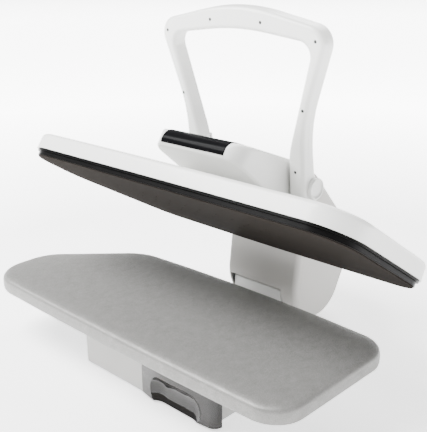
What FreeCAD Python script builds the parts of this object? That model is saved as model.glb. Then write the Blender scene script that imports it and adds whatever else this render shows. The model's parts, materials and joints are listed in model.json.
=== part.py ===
"""Steam ironing press: a padded board on a low base, a heated plate on a lifting arm, a hoop handle."""
import FreeCAD, Part
import math
import os
import re

Vector = FreeCAD.Vector

# Sizes in millimetres and degrees. Lengths along y are measured from the front edge of the board,
# heights of the arm, the pod and the handle from the face of the heating plate with the press shut.
SIZES = (
    ("board_length", 800.0, "length of the board"),
    ("board_depth", 306.0, "depth of the board at its blunt end"),
    ("board_thick", 30.4, "thickness of the padded board"),
    ("board_low", 103.6, "height of the underside of the board"),
    ("board_front_y", -310.157, "place of the board's front edge in the part's frame"),
    ("board_middle_x", -2.03, "place of the board's middle in the part's frame"),
    ("front_bow", 8.5, "how far the front edge bows out"),
    ("front_radius", 12000.0, "radius of the front edge"),
    ("tip_depth", 146.0, "depth of the narrow tip"),
    ("tip_run", 160.0, "length over which the tip widens"),
    ("tip_radius", 80.0, "radius of the corners of the tip"),
    ("shoulder_radius", 95.0, "radius where the tip meets the rear edge"),
    ("rear_bow", 20.0, "how far the rear edge bows out"),
    ("rear_bow_run", 330.0, "distance of the bow from the blunt end"),
    ("rear_radius", 3500.0, "radius of the rear edge"),
    ("end_radius", 60.0, "radius of the corners of the blunt end"),
    ("end_slant", 5.0, "how far the blunt end slants out to the rear"),
    ("cloth_thick", 1.2, "thickness of the board's cloth"),
    ("cloth_gap", 0.2, "room between the cloth and what it covers"),
    ("hem_width", 28.0, "width of the hem under the board"),
    ("hem_round", 4.0, "cloth's lower edge drawn in"),
    ("pad_toe", 1.0, "pad's lower edge and shoulder drawn in"),
    ("pad_draw", 3.4, "pad's crown inside the cloth's"),
    ("pan_thick", 1.5, "sheet of the board's tray"),
    ("pan_rim", 14.0, "height of the tray's rim"),
    ("pan_inset", 6.0, "tray's edge inside the board's edge"),
    ("pad_inset", 1.0, "pad's clearance inside the tray's rim"),
    ("plate_gap", 3.2, "height of the shut plate over the board"),
    ("plate_thick", 8.0, "thickness of the heating plate"),
    ("plate_grow", 7.1, "plate's edge outside the board's edge"),
    ("steam_hole_radius", 2.0, "radius of a steam hole"),
    ("steam_hole_pitch", 40.0, "distance between steam holes"),
    ("steam_hole_count", 11.0, "steam holes in a row"),
    ("steam_hole_rows", 3.0, "rows of steam holes"),
    ("chamber_length", 460.0, "length of the steam chamber"),
    ("chamber_depth", 100.0, "depth of the steam chamber"),
    ("chamber_high", 14.0, "height of the steam chamber"),
    ("chamber_wall", 4.0, "wall of the steam chamber"),
    ("chamber_ahead", 168.0, "front of the steam chamber in front of the head pivot"),
    ("element_radius", 5.0, "radius of the heating element"),
    ("element_margin", 16.0, "element's distance from the chamber"),
    ("gasket_low", 2.4, "height of the gasket over the plate's face"),
    ("gasket_step", 11.4, "height of the gasket's step"),
    ("gasket_grow", 9.4, "gasket's edge outside the board's edge"),
    ("flange_grow", 13.5, "gasket flange's edge outside the board's edge"),
    ("gasket_lap", 8.0, "gasket's lap over the plate"),
    ("cut_past", 1.0, "how far a cutter reaches past what it cuts"),
    ("deck_cut", 5.0, "how far the holes for keys and lamps are cut past the panel"),
    ("web_half", 1.0, "half thickness of the housing's webs"),
    ("foot_edge", 1.0, "feet's distance from the tongue's edges"),
    ("pin_half", 1.0, "half thickness of the inlet's pins"),
    ("shaft_past", 1.0, "hinge shaft's ends past the side plates"),
    ("fit_gap", 0.3, "clearance between pieces that fit together"),
    ("cover_low", 15.5, "height of the head cover's rim"),
    ("cover_high", 49.7, "height of the head cover's top"),
    ("cover_grow", 16.8, "head cover's edge outside the board's edge"),
    ("cover_draft", 0.8, "how far the head cover's wall leans in"),
    ("cover_round", 10.0, "radius of the head cover's top edge"),
    ("shell_wall", 3.0, "wall of the moulded shells"),
    ("hinge_ahead", 22.0, "lifting hinge in front of the drum's centre"),
    ("hinge_rise", 16.6, "lifting hinge above the drum's lowest point, shut"),
    ("open_angle", 32.7, "how far the head stands open"),
    ("drum_behind", 180.5, "centre of the arm's drum behind the board's rear edge"),
    ("drum_foot", 28.4, "height of the drum's lowest point, shut"),
    ("drum_radius", 92.5, "radius of the arm's drum"),
    ("arm_half", 98.0, "half the width of the arm"),
    ("arm_round", 12.0, "radius of the arm's long edges"),
    ("arm_lean", 25.5, "lean of the arm's front face from upright"),
    ("lug_drop", 34.0, "arm's underside below the head pivot"),
    ("knee_round", 30.0, "radius between the arm's underside and its front face"),
    ("crest_behind", 77.0, "arm's crest behind the head pivot"),
    ("crest_high", 176.0, "height of the arm's crest"),
    ("crest_round", 60.0, "radius of the arm's crest"),
    ("back_ahead", 16.5, "bend of the arm's back in front of the drum's centre"),
    ("back_rise", 61.8, "bend of the arm's back above the drum's top"),
    ("heel_inset", 12.5, "arm's heel inside the drum's rear"),
    ("heel_drop", 10.2, "arm's heel below the drum's top"),
    ("heel_more", 7.5, "radius of the arm's heel over the drum's"),
    ("tail_less", 9.5, "radius of the drum's lower rear under the drum's"),
    ("clip_half", 8.0, "half width of the hose clip"),
    ("ring_behind", 8.0, "side plate's round hole behind the drum's centre"),
    ("ring_above", 16.0, "side plate's round hole above the drum's centre"),
    ("ring_share", 0.42, "side plate's round hole as a share of the drum"),
    ("oval_behind", 11.0, "side plate's long hole behind the middle of the neck"),
    ("oval_front", 45.0, "side plate's long hole, forward reach"),
    ("oval_rear", 40.0, "side plate's long hole, rearward reach"),
    ("oval_half", 12.9, "half height of the side plate's long hole"),
    ("arm_hose_behind", 36.0, "hose in the drum behind its centre"),
    ("arm_hose_low", 30.0, "lower end of the arm's hose under the plate"),
    ("arm_hose_knee", 44.0, "first bend of the arm's hose over the plate"),
    ("arm_hose_bend", 70.0, "second bend of the arm's hose in front of the drum's centre"),
    ("arm_hose_drop", 4.0, "arm's hose below the head pivot"),
    ("front_band", 20.0, "depth of the arm's front cover"),
    ("seam_gap", 0.3, "gap at a seam between shells"),
    ("pivot_inset", 53.0, "head pivot in front of the board's rear edge"),
    ("pivot_high", 125.5, "height of the head pivot"),
    ("lug_radius", 32.0, "radius of the arm's front end"),
    ("arm_plate_gap", 7.0, "outer faces of the side plates inside the arm's sides"),
    ("arm_plate_thick", 4.0, "thickness of the arm's side plates"),
    ("arm_plate_inset", 5.0, "side plate's edge inside the arm's outline"),
    ("hinge_shaft_radius", 5.5, "radius of the hinge shaft"),
    ("run_gap", 0.05, "radial clearance of a running fit"),
    ("hold_gap", 0.02, "radial clearance of a held pin"),
    ("slot_left_inset", 11.0, "left end of the slot inside the arm's side"),
    ("slot_right_inset", 40.0, "right end of the slot inside the arm's side"),
    ("slot_front", 50.0, "slot's reach in front of the hinge"),
    ("slot_rear", 46.0, "slot's reach behind the hinge"),
    ("slot_high", 38.0, "top of the slot over the hinge"),
    ("block_left_gap", 3.0, "hinge cover's clearance at the slot's left end"),
    ("block_right_gap", 8.0, "hinge cover's clearance at the slot's right end"),
    ("block_front", 21.5, "hinge cover's reach in front of the hinge"),
    ("block_rear", 26.5, "hinge cover's reach behind the hinge"),
    ("block_high", 35.0, "hinge cover's reach over the hinge"),
    ("block_round", 6.0, "radius of the hinge cover's edges"),
    ("block_wall", 2.0, "wall of the hinge cover"),
    ("ear_inset", 6.0, "hinge bracket's ears inside the hinge cover's ends"),
    ("ear_thick", 5.0, "thickness of the hinge bracket's ears"),
    ("ear_half", 14.0, "half the width of the hinge bracket's ears"),
    ("bush_wall", 3.0, "wall of the hinge bushes"),
    ("bush_flange", 1.5, "flange of the hinge bushes"),
    ("spring_wire", 4.0, "wire of the lifting spring"),
    ("spring_mean", 8.0, "mean radius of the lifting spring"),
    ("spring_turns", 16.0, "turns of the lifting spring"),
    ("spring_end", 11.2, "room between the hinge bracket's ears and the spring's ends"),
    ("foot_high", 3.0, "height of the rubber feet"),
    ("foot_radius", 11.0, "radius of the rubber feet"),
    ("foot_inset", 30.0, "feet's distance from the base's edges"),
    ("floor_thick", 2.5, "sheet of the base plate"),
    ("base_left", -132.0, "left side of the base"),
    ("base_right", 212.0, "right side of the base"),
    ("base_front", 45.0, "front of the base"),
    ("base_behind", 50.0, "rear of the base behind the board's rear edge"),
    ("base_wall", 2.5, "wall of the base housing"),
    ("base_round", 10.0, "radius of the base's corners"),
    ("tongue_behind", 194.0, "rear end of the base plate behind the board"),
    ("tongue_inset", 5.0, "base plate's tongue inside the slot's ends"),
    ("boss_radius", 5.0, "radius of the screw bosses"),
    ("boss_inset", 14.0, "screw bosses' distance from the base's edges"),
    ("screw_radius", 2.0, "radius of a screw's shank"),
    ("screw_head", 3.6, "radius of a screw's head"),
    ("screw_head_high", 1.4, "height of a screw's head"),
    ("screw_length", 12.0, "length of a screw's shank"),
    ("post_radius", 9.0, "radius of the board's posts"),
    ("post_inset", 42.0, "board's posts' distance from the base's edges"),
    ("bay_left", 40.5, "left side of the tank bay"),
    ("bay_front", 62.0, "front of the tank bay"),
    ("bay_behind", 90.0, "rear of the tank bay in front of the base's rear"),
    ("bay_wall", 2.0, "wall of the tank bay's liner"),
    ("tank_gap", 1.5, "tank's clearance in its bay"),
    ("tank_wall", 2.5, "wall of the water tank"),
    ("tank_front", 31.0, "front face of the water tank"),
    ("tank_right", 228.0, "right end of the tank's front"),
    ("tank_rear_gap", 8.0, "tank's clearance at the rear of its bay"),
    ("tank_low", 5.0, "underside of the tank's front"),
    ("tank_high", 100.5, "top of the tank's front"),
    ("tank_filler", 13.0, "radius of the tank's filler hole"),
    ("filler_right", 90.0, "filler hole's place to the right"),
    ("filler_back", 34.0, "filler hole's place behind the bay's front"),
    ("scoop_left", 70.0, "left end of the finger recess"),
    ("scoop_right", 200.0, "right end of the finger recess"),
    ("scoop_radius", 38.0, "radius of the finger recess"),
    ("scoop_high", 28.0, "height of the finger recess's axis"),
    ("scoop_deep", 14.0, "depth of the finger recess"),
    ("valve_radius", 6.0, "radius of the tank's outlet"),
    ("valve_right", 125.0, "tank outlet's place to the right"),
    ("valve_high", 24.0, "height of the tank's outlet"),
    ("valve_length", 16.0, "length of the tank's outlet"),
    ("valve_bore", 3.0, "bore of the tank's outlet"),
    ("socket_wall", 3.0, "wall of the tank's socket"),
    ("socket_length", 22.0, "length of the tank's socket"),
    ("pump_radius", 17.0, "radius of the pump"),
    ("pump_length", 60.0, "length of the pump"),
    ("pump_right", -34.0, "pump's place to the right"),
    ("pump_behind", 141.0, "front of the pump in front of the base's rear"),
    ("pump_high", 36.0, "height of the pump's axis"),
    ("pump_port", 4.5, "radius of the pump's ports"),
    ("port_length", 10.0, "length of the pump's ports"),
    ("cradle_half", 19.0, "half the width of the pump's cradle"),
    ("cradle_length", 40.0, "length of the pump's cradle"),
    ("hose_radius", 4.0, "outer radius of the water hoses"),
    ("hose_bore", 2.0, "inner radius of the water hoses"),
    ("hose_bend", 20.0, "bend radius of the water hoses"),
    ("hose_over", 44.0, "delivery hose's height over the pump's axis"),
    ("supply_length", 90.0, "length of the power board"),
    ("supply_width", 66.0, "width of the power board"),
    ("supply_left", -110.0, "left side of the power board"),
    ("supply_front", 64.0, "front of the power board"),
    ("supply_high", 16.0, "height of the power board"),
    ("circuit_thick", 1.6, "thickness of a circuit board"),
    ("standoff_radius", 3.0, "radius of the power board's standoffs"),
    ("standoff_inset", 6.0, "standoffs' distance from the board's edges"),
    ("inlet_right", 165.0, "mains inlet's place to the right"),
    ("inlet_high", 34.0, "height of the mains inlet"),
    ("inlet_half", 14.0, "half the width of the mains inlet"),
    ("inlet_flange", 19.0, "half the width of the mains inlet's flange"),
    ("inlet_tall", 11.0, "half the height of the mains inlet"),
    ("inlet_deep", 22.0, "depth of the mains inlet"),
    ("inlet_lip", 2.0, "thickness of the mains inlet's flange"),
    ("pod_side_gap", 4.0, "room between the head bracket and the pod's sides"),
    ("pod_length", 204.0, "pod's nose in front of the head pivot"),
    ("pod_corner", 42.0, "radius of the pod's front corners in plan"),
    ("pod_edge", 7.0, "radius of the pod's long edges"),
    ("pod_nose_high", 129.0, "height of the pod's nose corner"),
    ("pod_nose_round", 26.0, "radius of the pod's nose"),
    ("pod_lip_high", 94.5, "height of the pod's front lip"),
    ("pod_lip_round", 14.0, "radius of the pod's front lip"),
    ("pod_rear_high", 173.0, "height of the pod's rear edge"),
    ("pod_rear_gap", 12.0, "pod's rear edge behind the head pivot"),
    ("pod_under", 80.0, "height of the pod's underside"),
    ("pod_neck_ahead", 93.0, "front of the pod's neck in front of the head pivot"),
    ("pod_neck_behind", 47.0, "rear of the pod's neck behind the head pivot"),
    ("panel_half", 82.0, "half the width of the control panel"),
    ("panel_deep", 101.0, "rear edge of the control panel behind the pod's nose"),
    ("panel_low", 101.0, "lower edge of the control panel"),
    ("panel_thick", 1.8, "thickness of the control panel"),
    ("panel_proud", 1.3, "how far the control panel stands out"),
    ("window_half", 21.0, "half the width of the display window"),
    ("window_back", 39.0, "front of the display window behind the pod's nose"),
    ("window_deep", 22.0, "depth of the display window"),
    ("key_radius", 6.0, "radius of the keys"),
    ("key_travel", 1.2, "travel of the keys"),
    ("key_proud", 1.6, "how far the keys stand out"),
    ("key_stem", 5.0, "length of the keys' stems"),
    ("key_near", 36.0, "inner keys' distance from the middle"),
    ("key_far", 62.0, "outer keys' distance from the middle"),
    ("lamp_radius", 1.5, "radius of the lamps"),
    ("lamp_ahead", 14.0, "lamps' distance in front of the keys"),
    ("logic_half", 72.0, "half the length of the control board"),
    ("logic_deep", 40.0, "depth of the control board"),
    ("post_thin", 2.5, "radius of the posts for the control board"),
    ("logic_drop", 6.0, "control board's distance under the keys' stems"),
    ("bracket_gap", 3.0, "room between the arm and the head bracket's ears"),
    ("bracket_thick", 4.0, "thickness of the head bracket"),
    ("bracket_ear", 20.0, "radius of the head bracket's ears"),
    ("bracket_ahead", 67.0, "front of the head bracket in front of the head pivot"),
    ("bracket_behind", 37.0, "rear of the head bracket behind the head pivot"),
    ("stud_radius", 4.0, "radius of the plate's studs"),
    ("stud_nut", 7.0, "radius of the studs' nuts"),
    ("stud_nut_high", 5.0, "height of the studs' nuts"),
    ("stud_inset", 14.0, "studs' distance from the bracket's edges"),
    ("pivot_bolt_radius", 6.0, "radius of the head pivot's bolts"),
    ("pivot_bush_wall", 2.5, "wall of the head pivot's bushes"),
    ("handle_lean", 38.2, "lean of the handle's front face"),
    ("handle_ahead", 126.0, "handle's reference point in front of the head pivot"),
    ("handle_high", 232.9, "height of the handle's reference point"),
    ("handle_deep", 38.0, "depth of the handle"),
    ("handle_seam", 18.0, "depth of the handle's front shell"),
    ("handle_round", 9.0, "radius of the handle's edges"),
    ("handle_wall", 4.0, "wall of the handle's shells"),
    ("hoop_top_out", 190.0, "outer edge of the hoop at its middle, before rounding"),
    ("hoop_top_round", 450.0, "radius of the hoop's outer top edge"),
    ("hoop_top_in", 143.0, "inner edge of the hoop at its middle, before rounding"),
    ("hoop_top_in_round", 600.0, "radius of the hoop's inner top edge"),
    ("hoop_corner_out", 97.0, "outer corner of the hoop beyond the legs' inner faces"),
    ("hoop_corner_out_up", 146.0, "height of the outer corner"),
    ("hoop_corner_round", 36.0, "radius of the outer corner"),
    ("hoop_corner_in", 61.0, "inner corner of the hoop beyond the legs' inner faces"),
    ("hoop_corner_in_up", 121.0, "height of the inner corner"),
    ("hoop_corner_in_round", 26.0, "radius of the inner corner"),
    ("hoop_knee_out", 30.0, "outer knee below the handle's reference point"),
    ("hoop_knee_out_round", 280.0, "radius of the outer knee"),
    ("hoop_knee_in", 88.0, "inner knee below the handle's reference point"),
    ("hoop_knee_in_round", 150.0, "radius of the inner knee"),
    ("hoop_foot", 180.0, "legs' lower ends below the handle's reference point"),
    ("leg_gap", 5.0, "room between the pod and the legs"),
    ("leg_wide", 37.0, "width of the legs"),
    ("foot_start", 92.0, "top of the feet below the handle's reference point"),
    ("foot_behind", 30.0, "rear of the feet behind the head pivot"),
    ("foot_rise", 20.0, "rear of the feet above the head pivot"),
    ("foot_drop", 32.0, "underside of the feet below the head pivot"),
    ("core_radius", 6.0, "radius of the handle's steel core"),
    ("core_deep", 21.0, "depth of the steel core in the handle"),
    ("cap_radius", 21.5, "radius of the pivot caps"),
    ("cap_out", 9.0, "how far the pivot caps stand out"),
    ("cap_dish", 3.0, "depth of the dish in the pivot caps"),
    ("cap_rim", 4.0, "rim of the pivot caps"),
    ("handle_screw_radius", 3.2, "radius of the handle's screws"),
    ("screw_top_side", 63.3, "top screws' distance from the middle"),
    ("screw_top_up", 154.2, "height of the top screws"),
    ("screw_corner_side", 69.2, "corner screws beyond the legs' inner faces"),
    ("screw_corner_up", 127.5, "height of the corner screws"),
    ("screw_knee_side", 38.0, "knee screws beyond the legs' inner faces"),
    ("screw_leg_side", 17.5, "leg screws beyond the legs' inner faces"),
    ("screw_leg_down", 123.1, "leg screws below the handle's reference point"),
)

doc = FreeCAD.newDocument("steam_press")
sheet = doc.addObject("Spreadsheet::Sheet", "Sizes")
for row, (alias, value, meaning) in enumerate(SIZES, start=1):
    sheet.set("A%d" % row, meaning)
    sheet.set("B%d" % row, str(value))
    sheet.setAlias("B%d" % row, alias)
doc.recompute()

NAMES = frozenset(alias for alias, _value, _meaning in SIZES)
NODES = []

# Lengths that several pieces share, as formulas of the sizes.
PLATE = "(board_low + board_thick + plate_gap)"
PIVOT_Y = "(board_depth - pivot_inset)"
PIVOT_Z = "(%s + pivot_high)" % PLATE
DRUM_Y = "(board_depth + drum_behind)"
DRUM_Z = "(drum_foot + drum_radius)"
HINGE_Y = "(%s - hinge_ahead)" % DRUM_Y
HINGE_Z = "(drum_foot + hinge_rise)"
FLOOR = "(foot_high + floor_thick)"
ROOF = "(board_low - fit_gap)"
CEILING = "(%s - base_wall)" % ROOF
BASE_REAR = "(board_depth + base_behind)"
COVER_TOP = "(%s + cover_high)" % PLATE
SADDLE_TOP = "(%s + bracket_thick)" % COVER_TOP
ARM_UNDER = "(%s - lug_drop)" % PIVOT_Z
SLOT_LEFT = "(slot_left_inset - arm_half)"
SLOT_RIGHT = "(arm_half - slot_right_inset)"
BLOCK_LEFT = "(%s + block_left_gap)" % SLOT_LEFT
BLOCK_RIGHT = "(%s - block_right_gap)" % SLOT_RIGHT
EAR_LEFT = "(%s + ear_inset)" % BLOCK_LEFT
EAR_RIGHT = "(%s - ear_inset)" % BLOCK_RIGHT
SPRING_PITCH = "((%s - %s - 2 * ear_thick - 2 * spring_end) / spring_turns)" % (EAR_RIGHT, EAR_LEFT)
BAY_REAR = "(%s - bay_behind)" % BASE_REAR
TANK_REAR = "(%s - bay_wall - tank_rear_gap)" % BAY_REAR
BAY_TOP = "(%s - screw_head_high - 2 * fit_gap)" % CEILING
PUMP_FRONT = "(%s - pump_behind)" % BASE_REAR
PLATE_OUT = "(arm_half - arm_plate_gap)"
PLATE_IN = "(%s - arm_plate_thick)" % PLATE_OUT
BRACKET_IN = "(arm_half + bracket_gap)"
BRACKET_OUT = "(%s + bracket_thick)" % BRACKET_IN
BRACKET_FRONT = "(%s - bracket_ahead)" % PIVOT_Y
BRACKET_REAR = "(%s + bracket_behind)" % PIVOT_Y
POD_HALF = "(%s + pod_side_gap + shell_wall)" % BRACKET_OUT
POD_FRONT = "(%s - pod_length)" % PIVOT_Y
POD_REAR = "(%s + pod_rear_gap)" % PIVOT_Y
NECK_FRONT = "(%s - pod_neck_ahead)" % PIVOT_Y
NECK_REAR = "(%s + pod_neck_behind)" % PIVOT_Y
CHAMBER_FRONT = "(%s - chamber_ahead)" % PIVOT_Y
CHAMBER_REAR = "(%s + chamber_depth)" % CHAMBER_FRONT
STEAM_Y = "(%s - 3 * chamber_wall)" % CHAMBER_REAR
LEG_IN = "(%s + leg_gap)" % POD_HALF
LEG_OUT = "(%s + leg_wide)" % LEG_IN
SEAM = "(handle_seam + seam_gap)"

# The padded board's crown: distance in from the edge, and distance down from the top.
CROWN = ((1.2, 5.5), (3.6, 2.9), (8.0, 1.3), (18.0, 0.5), (42.0, 0.0))


def linked(text):
    """The formula with every size's name written as the sheet's cell."""
    return re.sub(r"[a-z_]+", lambda m: "Sizes." + m.group(0) if m.group(0) in NAMES else m.group(0),
                  str(text))


def num(text):
    """The value of a formula of sizes."""
    return float(sheet.evalExpression(linked(text)))


def bind(item, name, text):
    """Binds a property of an object to a formula of sizes."""
    item.setExpression(name, linked(text))


# Outlines.

def turn(first, second):
    """Cross product of two plane directions."""
    return first.x * second.y - first.y * second.x


def grown(corners, amount):
    """Corners (u, v, radius) of an anticlockwise outline, moved outwards by an amount."""
    result = []
    count = len(corners)
    for index, (u, v, radius) in enumerate(corners):
        here = Vector(u, v, 0)
        before = Vector(*corners[index - 1][:2], 0)
        after = Vector(*corners[(index + 1) % count][:2], 0)
        inward = (here - before).normalize()
        onward = (after - here).normalize()
        normal_in = Vector(inward.y, -inward.x, 0)
        normal_on = Vector(onward.y, -onward.x, 0)
        shift = (normal_in + normal_on) * (amount / (1 + normal_in.dot(normal_on)))
        sign = 1 if turn(inward, onward) > 0 else -1
        rounded = max(radius + sign * amount, 0.2) if radius else 0.0
        result.append((here.x + shift.x, here.y + shift.y, rounded))
    return result


def rounding(before, here, after, radius):
    """Start, middle and end of the arc that rounds a corner."""
    inward = (here - before).normalize()
    onward = (after - here).normalize()
    half = math.acos(max(-1.0, min(1.0, inward.dot(onward)))) / 2
    reach = radius * math.tan(half)
    start = here - inward * reach
    end = here + onward * reach
    middle = here + (onward - inward).normalize() * (radius / math.cos(half) - radius)
    return start, middle, end


def rounded_wire(corners, place):
    """Closed wire of lines and arcs; place turns plane coordinates into a point."""
    count = len(corners)
    points = [Vector(u, v, 0) for u, v, _radius in corners]
    arcs = []
    for index in range(count):
        after = points[(index + 1) % count]
        arcs.append(rounding(points[index - 1], points[index], after, corners[index][2]))
    edges = []
    for index in range(count):
        start, middle, end = (place(p.x, p.y) for p in arcs[index])
        onward = arcs[(index + 1) % count][0]
        if corners[index][2]:
            edges.append(Part.Arc(start, middle, end).toShape())
        target = place(onward.x, onward.y)
        if end.distanceToPoint(target) > 1e-4:
            edges.append(Part.LineSegment(end, target).toShape())
    return Part.Wire(edges)


def plan(u, v):
    """A point of a plan outline."""
    return Vector(u, v, 0)


def side(u, v):
    """A point of a side outline."""
    return Vector(0, u, v)


def board_corners():
    """Plan corners of the board, anticlockwise, x from its middle and y from its front edge."""
    half = num("board_length / 2")
    return [
        (-half, 0.0, num("tip_radius")),
        (0.0, -num("front_bow"), num("front_radius")),
        (half, 0.0, num("end_radius")),
        (half + num("end_slant"), num("board_depth"), num("end_radius")),
        (half - num("rear_bow_run"), num("board_depth + rear_bow"), num("rear_radius")),
        (-half + num("tip_run"), num("board_depth"), num("shoulder_radius")),
        (-half, num("tip_depth"), num("tip_radius")),
    ]


def outline(name, corners, place=plan, holes=()):
    """A face object bounded by a rounded outline, with holes."""
    face = doc.addObject("Part::Feature", name)
    wires = [rounded_wire(corners, place)] + [rounded_wire(hole, place) for hole in holes]
    face.Shape = Part.makeFace(wires, "Part::FaceMakerBullseye")
    return face


def layer(name, grow, height):
    """Wire object of the board's outline, grown and set at a height."""
    ring = doc.addObject("Part::Feature", name)
    ring.Shape = rounded_wire(grown(board_corners(), num(grow)), plan)
    bind(ring, "Placement.Base.z", height)
    return ring


# Solids.

def loft(name, layers):
    """Ruled solid through layers given as (grow, height)."""
    solid = doc.addObject("Part::Loft", name)
    solid.Sections = [layer("%s_layer_%d" % (name, i), g, z) for i, (g, z) in enumerate(layers)]
    solid.Solid = True
    solid.Ruled = True
    return solid


def extrude(name, face, direction, forward, backward="0"):
    """Prism of a face along a direction."""
    solid = doc.addObject("Part::Extrusion", name)
    solid.Base = face
    solid.DirMode = "Custom"
    solid.Dir = direction
    solid.Solid = True
    bind(solid, "LengthFwd", forward)
    bind(solid, "LengthRev", backward)
    return solid


def prism_x(name, corners, low, high, holes=()):
    """Prism of a side outline between two places along x."""
    return extrude(name, outline(name + "_outline", corners, side, holes), Vector(1, 0, 0), high,
                   "-(%s)" % low)


def prism_z(name, corners, low, high, holes=()):
    """Prism of a plan outline between two heights."""
    return extrude(name, outline(name + "_outline", corners, plan, holes), Vector(0, 0, 1), high,
                   "-(%s)" % low)


def box(name, xs, ys, zs):
    """Box between pairs of formulas."""
    solid = doc.addObject("Part::Box", name)
    for size, axis, (low, high) in zip(("Length", "Width", "Height"), "xyz", (xs, ys, zs)):
        bind(solid, size, "(%s) - (%s)" % (high, low))
        bind(solid, "Placement.Base." + axis, low)
    return solid


def rod(name, axis, centre, span, radius):
    """Cylinder along an axis: its centre's other two coordinates in x, y, z order, and its span."""
    solid = doc.addObject("Part::Cylinder", name)
    turns = {"x": FreeCAD.Rotation(Vector(0, 1, 0), 90), "y": FreeCAD.Rotation(Vector(1, 0, 0), -90),
             "z": FreeCAD.Rotation()}
    solid.Placement = FreeCAD.Placement(Vector(), turns[axis])
    bind(solid, "Radius", radius)
    bind(solid, "Height", "(%s) - (%s)" % (span[1], span[0]))
    bind(solid, "Placement.Base." + axis, span[0])
    for other, place in zip([a for a in "xyz" if a != axis], centre):
        bind(solid, "Placement.Base." + other, place)
    return solid


def fuse(name, *solids):
    """Union of solids."""
    whole = doc.addObject("Part::MultiFuse", name)
    whole.Shapes = list(solids)
    return whole


def cut(name, base, *tools):
    """Base with the tools cut away."""
    rest = doc.addObject("Part::Cut", name)
    rest.Base = base
    rest.Tool = tools[0] if len(tools) == 1 else group(name + "_tools", *tools)
    return rest


def common(name, first, second):
    """What two solids share."""
    shared = doc.addObject("Part::Common", name)
    shared.Base = first
    shared.Tool = second
    return shared


def group(name, *solids):
    """Separate solids kept together."""
    bundle = doc.addObject("Part::Compound", name)
    bundle.Links = list(solids)
    return bundle


def filleted(name, base, radius, wanted):
    """Base with the edges rounded that the test picks."""
    doc.recompute()
    rounded = doc.addObject("Part::Fillet", name)
    rounded.Base = base
    size = num(radius)
    picked = [i for i, edge in enumerate(base.Shape.Edges, start=1) if wanted(edge)]
    rounded.Edges = [(i, size, size) for i in picked]
    return rounded


def tube(name, points, radius, bore):
    """Hose along a polyline whose corners are rounded."""
    bend = num("hose_bend")
    edges = []
    last = points[0]
    for index in range(1, len(points) - 1):
        here = points[index]
        start, middle, end = rounding(points[index - 1], here, points[index + 1], bend)
        edges.append(Part.LineSegment(last, start).toShape())
        edges.append(Part.Arc(start, middle, end).toShape())
        last = end
    edges.append(Part.LineSegment(last, points[-1]).toShape())
    path = Part.Wire(edges)
    heading = (points[1] - points[0]).normalize()
    outer = Part.Wire(Part.makeCircle(num(radius), points[0], heading))
    inner = Part.Wire(Part.makeCircle(num(bore), points[0], heading))
    solid = doc.addObject("Part::Feature", name)
    solid.Shape = path.makePipeShell([outer], True, False).cut(path.makePipeShell([inner], True, False))
    return solid


def place_fixed(item):
    """Sets a piece of the base in the part's frame."""
    bind(item, "Placement.Base.x", "board_middle_x")
    bind(item, "Placement.Base.y", "board_front_y")


def place_lifted(item):
    """Turns a piece that is modelled shut about the lifting hinge to its open rest place."""
    item.Placement = FreeCAD.Placement(Vector(), FreeCAD.Rotation(Vector(1, 0, 0), -num("open_angle")))
    bind(item, "Placement.Rotation.Angle", "-open_angle")
    bind(item, "Placement.Base.x", "board_middle_x")
    bind(item, "Placement.Base.y",
         "%s * (1 - cos(open_angle)) - %s * sin(open_angle) + board_front_y" % (HINGE_Y, HINGE_Z))
    bind(item, "Placement.Base.z",
         "%s * (1 - cos(open_angle)) + %s * sin(open_angle)" % (HINGE_Z, HINGE_Y))


def node(item, label, lifted=False):
    """Names a sub-part and puts it in its place."""
    item.Label = label
    if lifted:
        place_lifted(item)
    else:
        place_fixed(item)
    NODES.append(item)
    return item


# Board.

def crown(inset, drop):
    """Layers of the board's crowned top, moved in and down."""
    top = "(board_low + board_thick - %s)" % drop
    return [("-%s - %s" % (back, inset), "%s - %s" % (top, down)) for back, down in CROWN]


def board_cover():
    """Grey cloth drawn over the pad with a hem under the tray."""
    low, skin = "board_low", "cloth_thick"
    sides = [("0", low + " + 6"), ("0", low + " + 20")]
    outer = loft("cover_outside", [("-hem_round", low),
                                   ("-hem_round / 4", low + " + 1.5")] + sides + crown("0", "0"))
    inner_sides = [("-" + skin, height) for _grow, height in sides]
    bottom = ("-hem_round - " + skin, low + " + " + skin)
    inner = loft("cover_inside", [bottom] + inner_sides + crown(skin, skin))
    mouth = prism_z("cover_mouth", grown(board_corners(), -num("hem_width")), low + " - cut_past",
                    low + " + 3")
    node(cut("board_cover", outer, inner, mouth), "board_cover")


def board_pad():
    """Foam cushion with a crown and drawn-in sides."""
    inset = "(pan_inset + pan_thick + pad_inset)"
    floor = "(board_low + cloth_thick + cloth_gap + pan_thick)"
    under_cloth = "(cloth_thick + cloth_gap)"
    top = "(board_low + board_thick - %s)" % under_cloth
    sides = [("-%s - pad_toe" % inset, floor), ("-" + inset, floor + " + 4"),
             ("-%s - 0.4" % inset, floor + " + 13"),
             ("-pad_draw - pad_toe", top + " - 8")]
    node(loft("board_pad", sides + crown("pad_draw", under_cloth)), "board_pad")


def board_pan():
    """Pressed steel tray under the pad."""
    low = "(board_low + cloth_thick + cloth_gap)"
    corners = grown(board_corners(), -num("pan_inset"))
    outer = prism_z("pan_outside", corners, low, low + " + pan_rim")
    hollow = prism_z("pan_inside", grown(corners, -num("pan_thick")), low + " + pan_thick",
                     low + " + pan_rim + cut_past")
    holes = [rod("pan_hole_%d" % i, "z", c, (low + " - cut_past", low + " + pan_thick + cut_past"),
                 "screw_radius + fit_gap")
             for i, c in enumerate(post_places())]
    node(cut("board_pan", outer, hollow, *holes), "board_pan")


def post_places():
    """Places of the posts that carry the board."""
    left = "(base_left + post_inset)"
    right = "(base_right - post_inset)"
    front = "(base_front + post_inset)"
    rear = "(board_depth - hem_width - post_inset / 2)"
    return [(x, y) for x in (left, right) for y in (front, rear)]


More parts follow.
